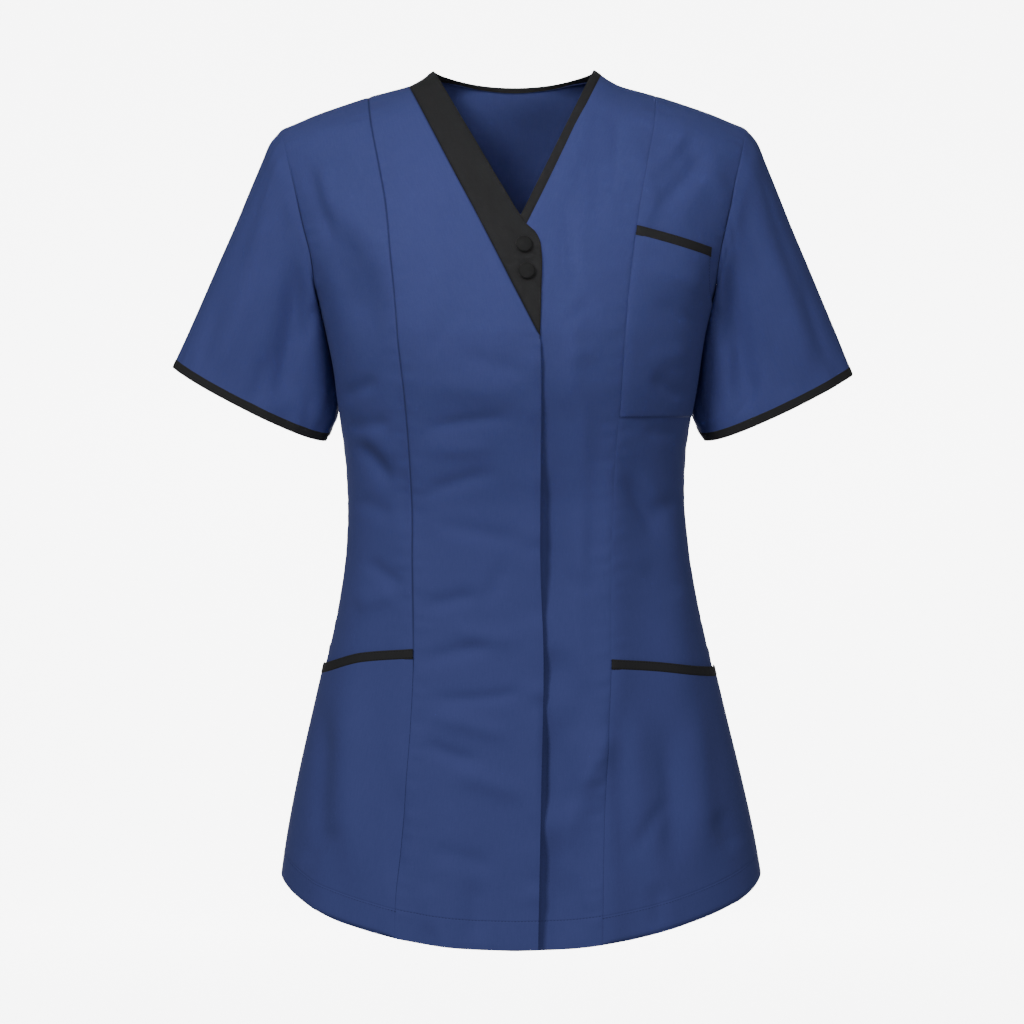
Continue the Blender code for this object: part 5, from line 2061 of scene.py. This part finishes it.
# Creases of the front and of the back: start x and z, end x and z, half width, height and,
# where the line isn't straight, bow.
MAIN_FRONT = (
    (72, -540, 36, -650, 20, 2.2), (-150, -510, -166, -760, 20, 2.4),
    (112, -560, 120, -800, 22, 2.2), (-52, -600, -58, -800, 24, 2.4),
    (84, -320, 128, -410, 20, -2.2), (-128, -300, -60, -420, 22, -2.0),
)
FINE_FRONT = (
    (-49, -90, 4, -188, 16, 1.2), (-96, -221, -90, -410, 8, -0.8),
    (-137, -311, -101, -354, 7, -1.5, 3), (-134, -298, -93, -336, 9, 1.1, 2),
    (-126, -410, -88, -434, 7, -1.1, -2), (-136, -452, -93, -439, 9, 1.2, 2),
    (-158, -521, -163, -666, 10, -2.3, 3), (-134, -502, -132, -693, 15, 2.5, -3),
    (-96, -582, -99, -689, 9, -1.7, 2), (-83, -306, 6, -293, 6, -1, 3),
    (-80, -318, -12, -316, 8, 0.8, -2), (-81, -359, -8, -338, 7, -1.1, 3),
    (-70, -377, 14, -394, 8, -0.9, -3), (-80, -452, -24, -439, 7, -1.3, 2),
    (-62, -466, 14, -475, 9, 1, -3), (-81, -495, -12, -480, 7, -1.2, 2),
    (-75, -525, 16, -517, 6, -1.1, -3), (-78, -538, 4, -559, 9, 1.2, 3),
    (-81, -559, -24, -577, 7, -1.3, -2), (-57, -584, 14, -607, 10, 1.3, 3),
    (-78, -648, -12, -663, 9, -1, 2), (-34, -666, -30, -726, 10, -1.3),
    (-71, -672, -69, -720, 9, 1.1), (-6, -407, -29, -452, 8, -0.8, 2),
    (-53, -237, 14, -256, 8, -0.7, -2), (-78, -265, 4, -280, 9, 0.6, 2),
    (38, -420, 66, -440, 9, -0.6, 1), (47, -184, 42, -299, 10, 1, 3),
    (62, -295, 65, -443, 11, -1.2, -2), (79, -546, 45, -606, 10, 1.6, 3),
    (48, -590, 39, -690, 9, 1.2, -2), (62, -505, 42, -566, 11, -0.8, 3),
    (68, -590, 54, -690, 11, -1.1, 2), (50, -664, 52, -722, 10, -0.9),
    (88, -339, 121, -399, 7, -0.8, 2), (98, -334, 140, -411, 9, 0.9, 3),
    (103, -410, 140, -444, 9, -0.9, -2), (144, -517, 153, -676, 14, 2.1, 3),
    (101, -517, 103, -659, 12, 1.5, -2), (122, -537, 127, -676, 10, -1.8, 3),
    (94, -658, 127, -605, 6, -1.1, 2), (83, -517, 88, -689, 8, -1.1),
    (116, -671, 117, -718, 7, -1.3), (111, -196, 153, -221, 8, -0.9, 2),
    (103, -247, 145, -233, 9, 0.8, -2), (104, -170, 157, -188, 9, 0.9, 2),
    (129, -57, 171, -98, 9, -1, 3), (144, -62, 181, -127, 10, 1.1, 3),
    (-140, -63, -162, -132, 12, 1.1, -3), (-177, -73, -152, -157, 8, -1.5, 3),
    (-152, -155, -132, -214, 8, -0.9, 2), (-140, -47, -118, -147, 8, 0.7, 2),
    (-147, -280, -109, -262, 7, -1.3, 2), (-145, -301, -98, -295, 7, -1.1, -2),
    (142, -278, 109, -256, 7, -1.3, 2), (140, -305, 103, -303, 7, -0.9, 2),
    (-136, -361, -98, -379, 8, -0.9, 2), (139, -361, 111, -377, 8, -0.9, -2),
    (-177, -672, -142, -628, 9, -1.2, 2), (186, -656, 165, -617, 9, -1.2, 2),
    (-62, -82, -37, -221, 9, -0.8, 3), (75, -49, 68, -155, 9, -0.9, -2),
    (99, -49, 111, -131, 10, 0.8, 2), (-37, -196, -78, -246, 9, -0.8, -2),
    (37, -221, 70, -196, 7, -0.8, 2), (37, -246, 73, -239, 8, 0.7, 2),
)
FLY_AND_LENGTHWISE = (
    (26, -330, 27, -460, 6, -2.2, 1), (26, -500, 26, -640, 6, -2.4, -1),
    (26, -600, 25, -860, 6, -2.2, 1), (52, -250, 58, -380, 12, 1.8, 2),
    (62, -345, 50, -455, 12, 1.6, -2), (44, -430, 56, -520, 11, 1.5, 2),
    (80, -250, 77, -600, 26, 3.8, 1), (77, -440, 73, -820, 26, 4.6, -2),
    (-90, -300, -86, -560, 24, 2.0), (-88, -480, -98, -820, 24, 2.4),
    (146, -110, 142, -330, 30, 5.0, 2), (130, -320, 140, -600, 26, 3.6),
    (-146, -150, -140, -330, 30, 2.4, -2), (-130, -320, -140, -600, 26, 2.0),
)
UPPER_FRONT = (
    (-184, -60, -104, -190, 26, 4.6, 3), (-150, -114, -116, -250, 27, -6.6, 4),
    (-176, -150, -150, -260, 12, 1.4, 2), (184, -64, 118, -150, 20, 2.4, -3),
    (163, -66, 116, -123, 11, -3.6, 3), (150, -46, 104, -98, 10, 2.6, 2),
    (84, -30, 77, -120, 10, -2.2, 3), (66, -28, 26, -128, 11, 2.6, 2),
    (44, -100, 52, -200, 10, -1.6, -3), (118, -98, 100, -148, 9, 1.8, 2),
)
BUTTON_PUCKERS = (
    (-5, -163, 21, -161, 3.4, 1.3), (-8, -168, 3, -163, 3.2, -1.0, 1),
    (13, -158, 24, -154, 3.2, -1.1), (15, -178, 23, -190, 3.4, -0.9, 1),
    (-1, -145, -10, -136, 4.0, 0.8), (9, -141, 20, -141, 3.2, -0.9, -1),
    (4, -184, 6, -196, 4.0, 0.7), (20, -168, 23, -178, 3.0, 0.9),
)
MAIN_BACK = (
    (-72, -270, -80, -450, 26, -4.2), (72, -270, 80, -450, 26, -4.2),
    (-88, -560, -104, -800, 28, 3.8), (14, -590, 20, -800, 28, 3.0),
    (92, -540, 108, -800, 28, 3.8), (-158, -120, -92, -230, 22, -2.8),
    (156, -125, 96, -215, 22, -2.8), (-46, -330, 44, -352, 11, -1.6, -4),
    (-58, -370, 60, -384, 12, -1.7, 5), (-40, -410, 52, -404, 12, 1.6, -4),
    (-60, -352, 30, -362, 9, 1.2, 3), (-50, -440, 40, -446, 13, -1.2, 4),
    (-120, -330, -84, -392, 9, -1.5, 3), (122, -335, 86, -390, 9, -1.5, -3),
    (-132, -300, -100, -330, 9, 1.2, 2), (134, -296, 104, -332, 9, 1.2, -2),
    (-48, -520, -56, -700, 18, -2.2, 3), (52, -520, 60, -704, 18, -2.2, -3),
    (-140, -560, -160, -720, 16, -2.0, 3), (142, -552, 162, -716, 16, -2.0, -3),
    (-20, -60, -70, -150, 12, -0.9, 3), (24, -64, 74, -146, 12, -0.9, -3),
    (-10, -180, 6, -300, 13, 0.9, 4), (-130, -190, -104, -262, 10, -1.3, 2),
    (132, -186, 108, -258, 10, -1.3, -2), (-30, -600, 8, -640, 9, -1.1, 3),
    (70, -600, 40, -660, 9, 1.1, 3), (-118, -640, -96, -700, 9, -1.2, 2),
    (130, -620, 104, -690, 9, -1.2, 2), (-12, -700, -10, -728, 8, -0.9),
)

# Folds of the sleeves: start share of the girth and of the length, end shares, half
# width, height, bow. The girth starts at the outer line and goes forwards. The left sleeve
# reaches out a little less than the right one and hangs lower.
SLEEVE_FOLDS = (
    (0.40, 0.14, 0.30, 0.62, 9, -1.9, 4), (0.44, 0.30, 0.41, 0.98, 9, -1.6, -3),
    (0.22, 0.05, 0.20, 0.50, 13, -1.3, 3), (0.09, 0.08, 0.11, 0.60, 11, -1.1, -3),
    (0.60, 0.16, 0.70, 0.60, 10, -1.9, -4), (0.72, 0.50, 0.74, 1.04, 10, -1.8, 3),
    (0.80, 0.40, 0.82, 1.04, 12, 1.8, -3), (0.66, 0.55, 0.64, 1.04, 11, 1.6, 3),
    (0.88, 0.10, 0.86, 0.70, 12, -1.2, 3), (0.56, 0.35, 0.57, 1.0, 9, -1.4, 2),
    (0.28, 0.12, 0.31, 1.04, 19, -9.5, 2), (0.16, 0.06, 0.18, 0.98, 22, 3.0, 2),
)
RIGHT_SLEEVE_FOLDS = (
    (0.25, 0.66, 0.26, 1.06, 8, -1.9, 2), (0.17, 0.42, 0.15, 1.04, 12, 2.0, -3),
    (0.33, 0.48, 0.31, 1.06, 10, 1.8, 3), (0.36, 0.70, 0.37, 1.04, 7, -1.2, 2),
    (0.12, 0.62, 0.13, 1.02, 9, -1.3, 2),
)
LEFT_SLEEVE_FOLDS = (
    (0.23, 0.60, 0.22, 1.06, 9, -1.8, -2), (0.15, 0.30, 0.17, 1.04, 12, 1.9, 3),
    (0.30, 0.40, 0.33, 1.06, 10, 1.9, -4), (0.27, 0.74, 0.34, 0.98, 7, -1.5, 5),
    (0.10, 0.55, 0.11, 1.02, 9, -1.2, -2),
)
SLEEVES = {Hand.RIGHT: (1.0, 1.0, RIGHT_SLEEVE_FOLDS), Hand.LEFT: (0.967, 1.028, LEFT_SLEEVE_FOLDS)}


def creases() -> tuple[Crease, ...]:
    """All creases of the body of the tunic, some tables made wider and higher.

    Returns:
        The creases.
    """
    tables = ((Side.FRONT, MAIN_FRONT, 1.0, 1.0), (Side.FRONT, FINE_FRONT, 1.35, 2.0),
              (Side.FRONT, FLY_AND_LENGTHWISE, 1.0, 1.0), (Side.FRONT, UPPER_FRONT, 1.0, 1.0),
              (Side.FRONT, BUTTON_PUCKERS, 1.0, 1.0), (Side.BACK, MAIN_BACK, 1.0, 1.6))
    return tuple(Crease(side, row[:2], row[2:4], row[4] * wider, row[5] * higher, *row[6:])
                 for side, rows, wider, higher in tables for row in rows)


FORM = WornForm(creases=creases())
POCKETS = (
    Pocket("pocket_chest", Hand.LEFT, SizeTable("across z", [(96, -133.9), (164, -152.3)]),
           lambda across: np.full_like(across, -293.4), (("bottom", 1.5), ("last", 1.5)),
           last_share=0.8, to_hem=False),
    Pocket("pocket_hip_right", Hand.RIGHT,
           SizeTable("across z", [(82, -483.7), (125, -488.7), (164, -503)]),
           lambda across: FORM.hem_z(across) + HEM_TURN),
    Pocket("pocket_hip_left", Hand.LEFT,
           SizeTable("across z", [(77, -491.7), (121, -496.2), (166, -504)]),
           lambda across: FORM.hem_z(across) + HEM_TURN),
)
BUTTONS = (("button_upper", (7.3, -151.5)), ("button_lower", (9.5, -173.3)))


def main() -> None:
    """Loads the frame and builds the studio, the finishes and the garment."""
    logging.basicConfig(level=logging.INFO, format="%(name)s: %(message)s")
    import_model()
    studio = Studio()
    studio.camera()
    studio.light()
    studio.backdrop(BackdropFinish("backdrop_paper", colour=(0.92, 0.92, 0.925)))
    blue = WovenFinish("blue_poplin", colour=(0.044, 0.059, 0.207),
                       light_colour=(0.069, 0.085, 0.278), roughness=0.82)
    grey_sheen = (0.7, 0.7, 0.75)
    black = WovenFinish("black_trim", colour=(0.016, 0.016, 0.017),
                        light_colour=(0.028, 0.028, 0.03), roughness=0.78,
                        sheen_colour=grey_sheen)
    covered = WovenFinish("button_cloth", colour=(0.022, 0.022, 0.023),
                          light_colour=(0.04, 0.04, 0.042), roughness=0.72,
                          sheen_colour=grey_sheen)
    tunic = Tunic(blue.make(), black.make(), covered.make(), Bodice(FORM))
    tunic.build()


if __name__ == "__main__":
    main()
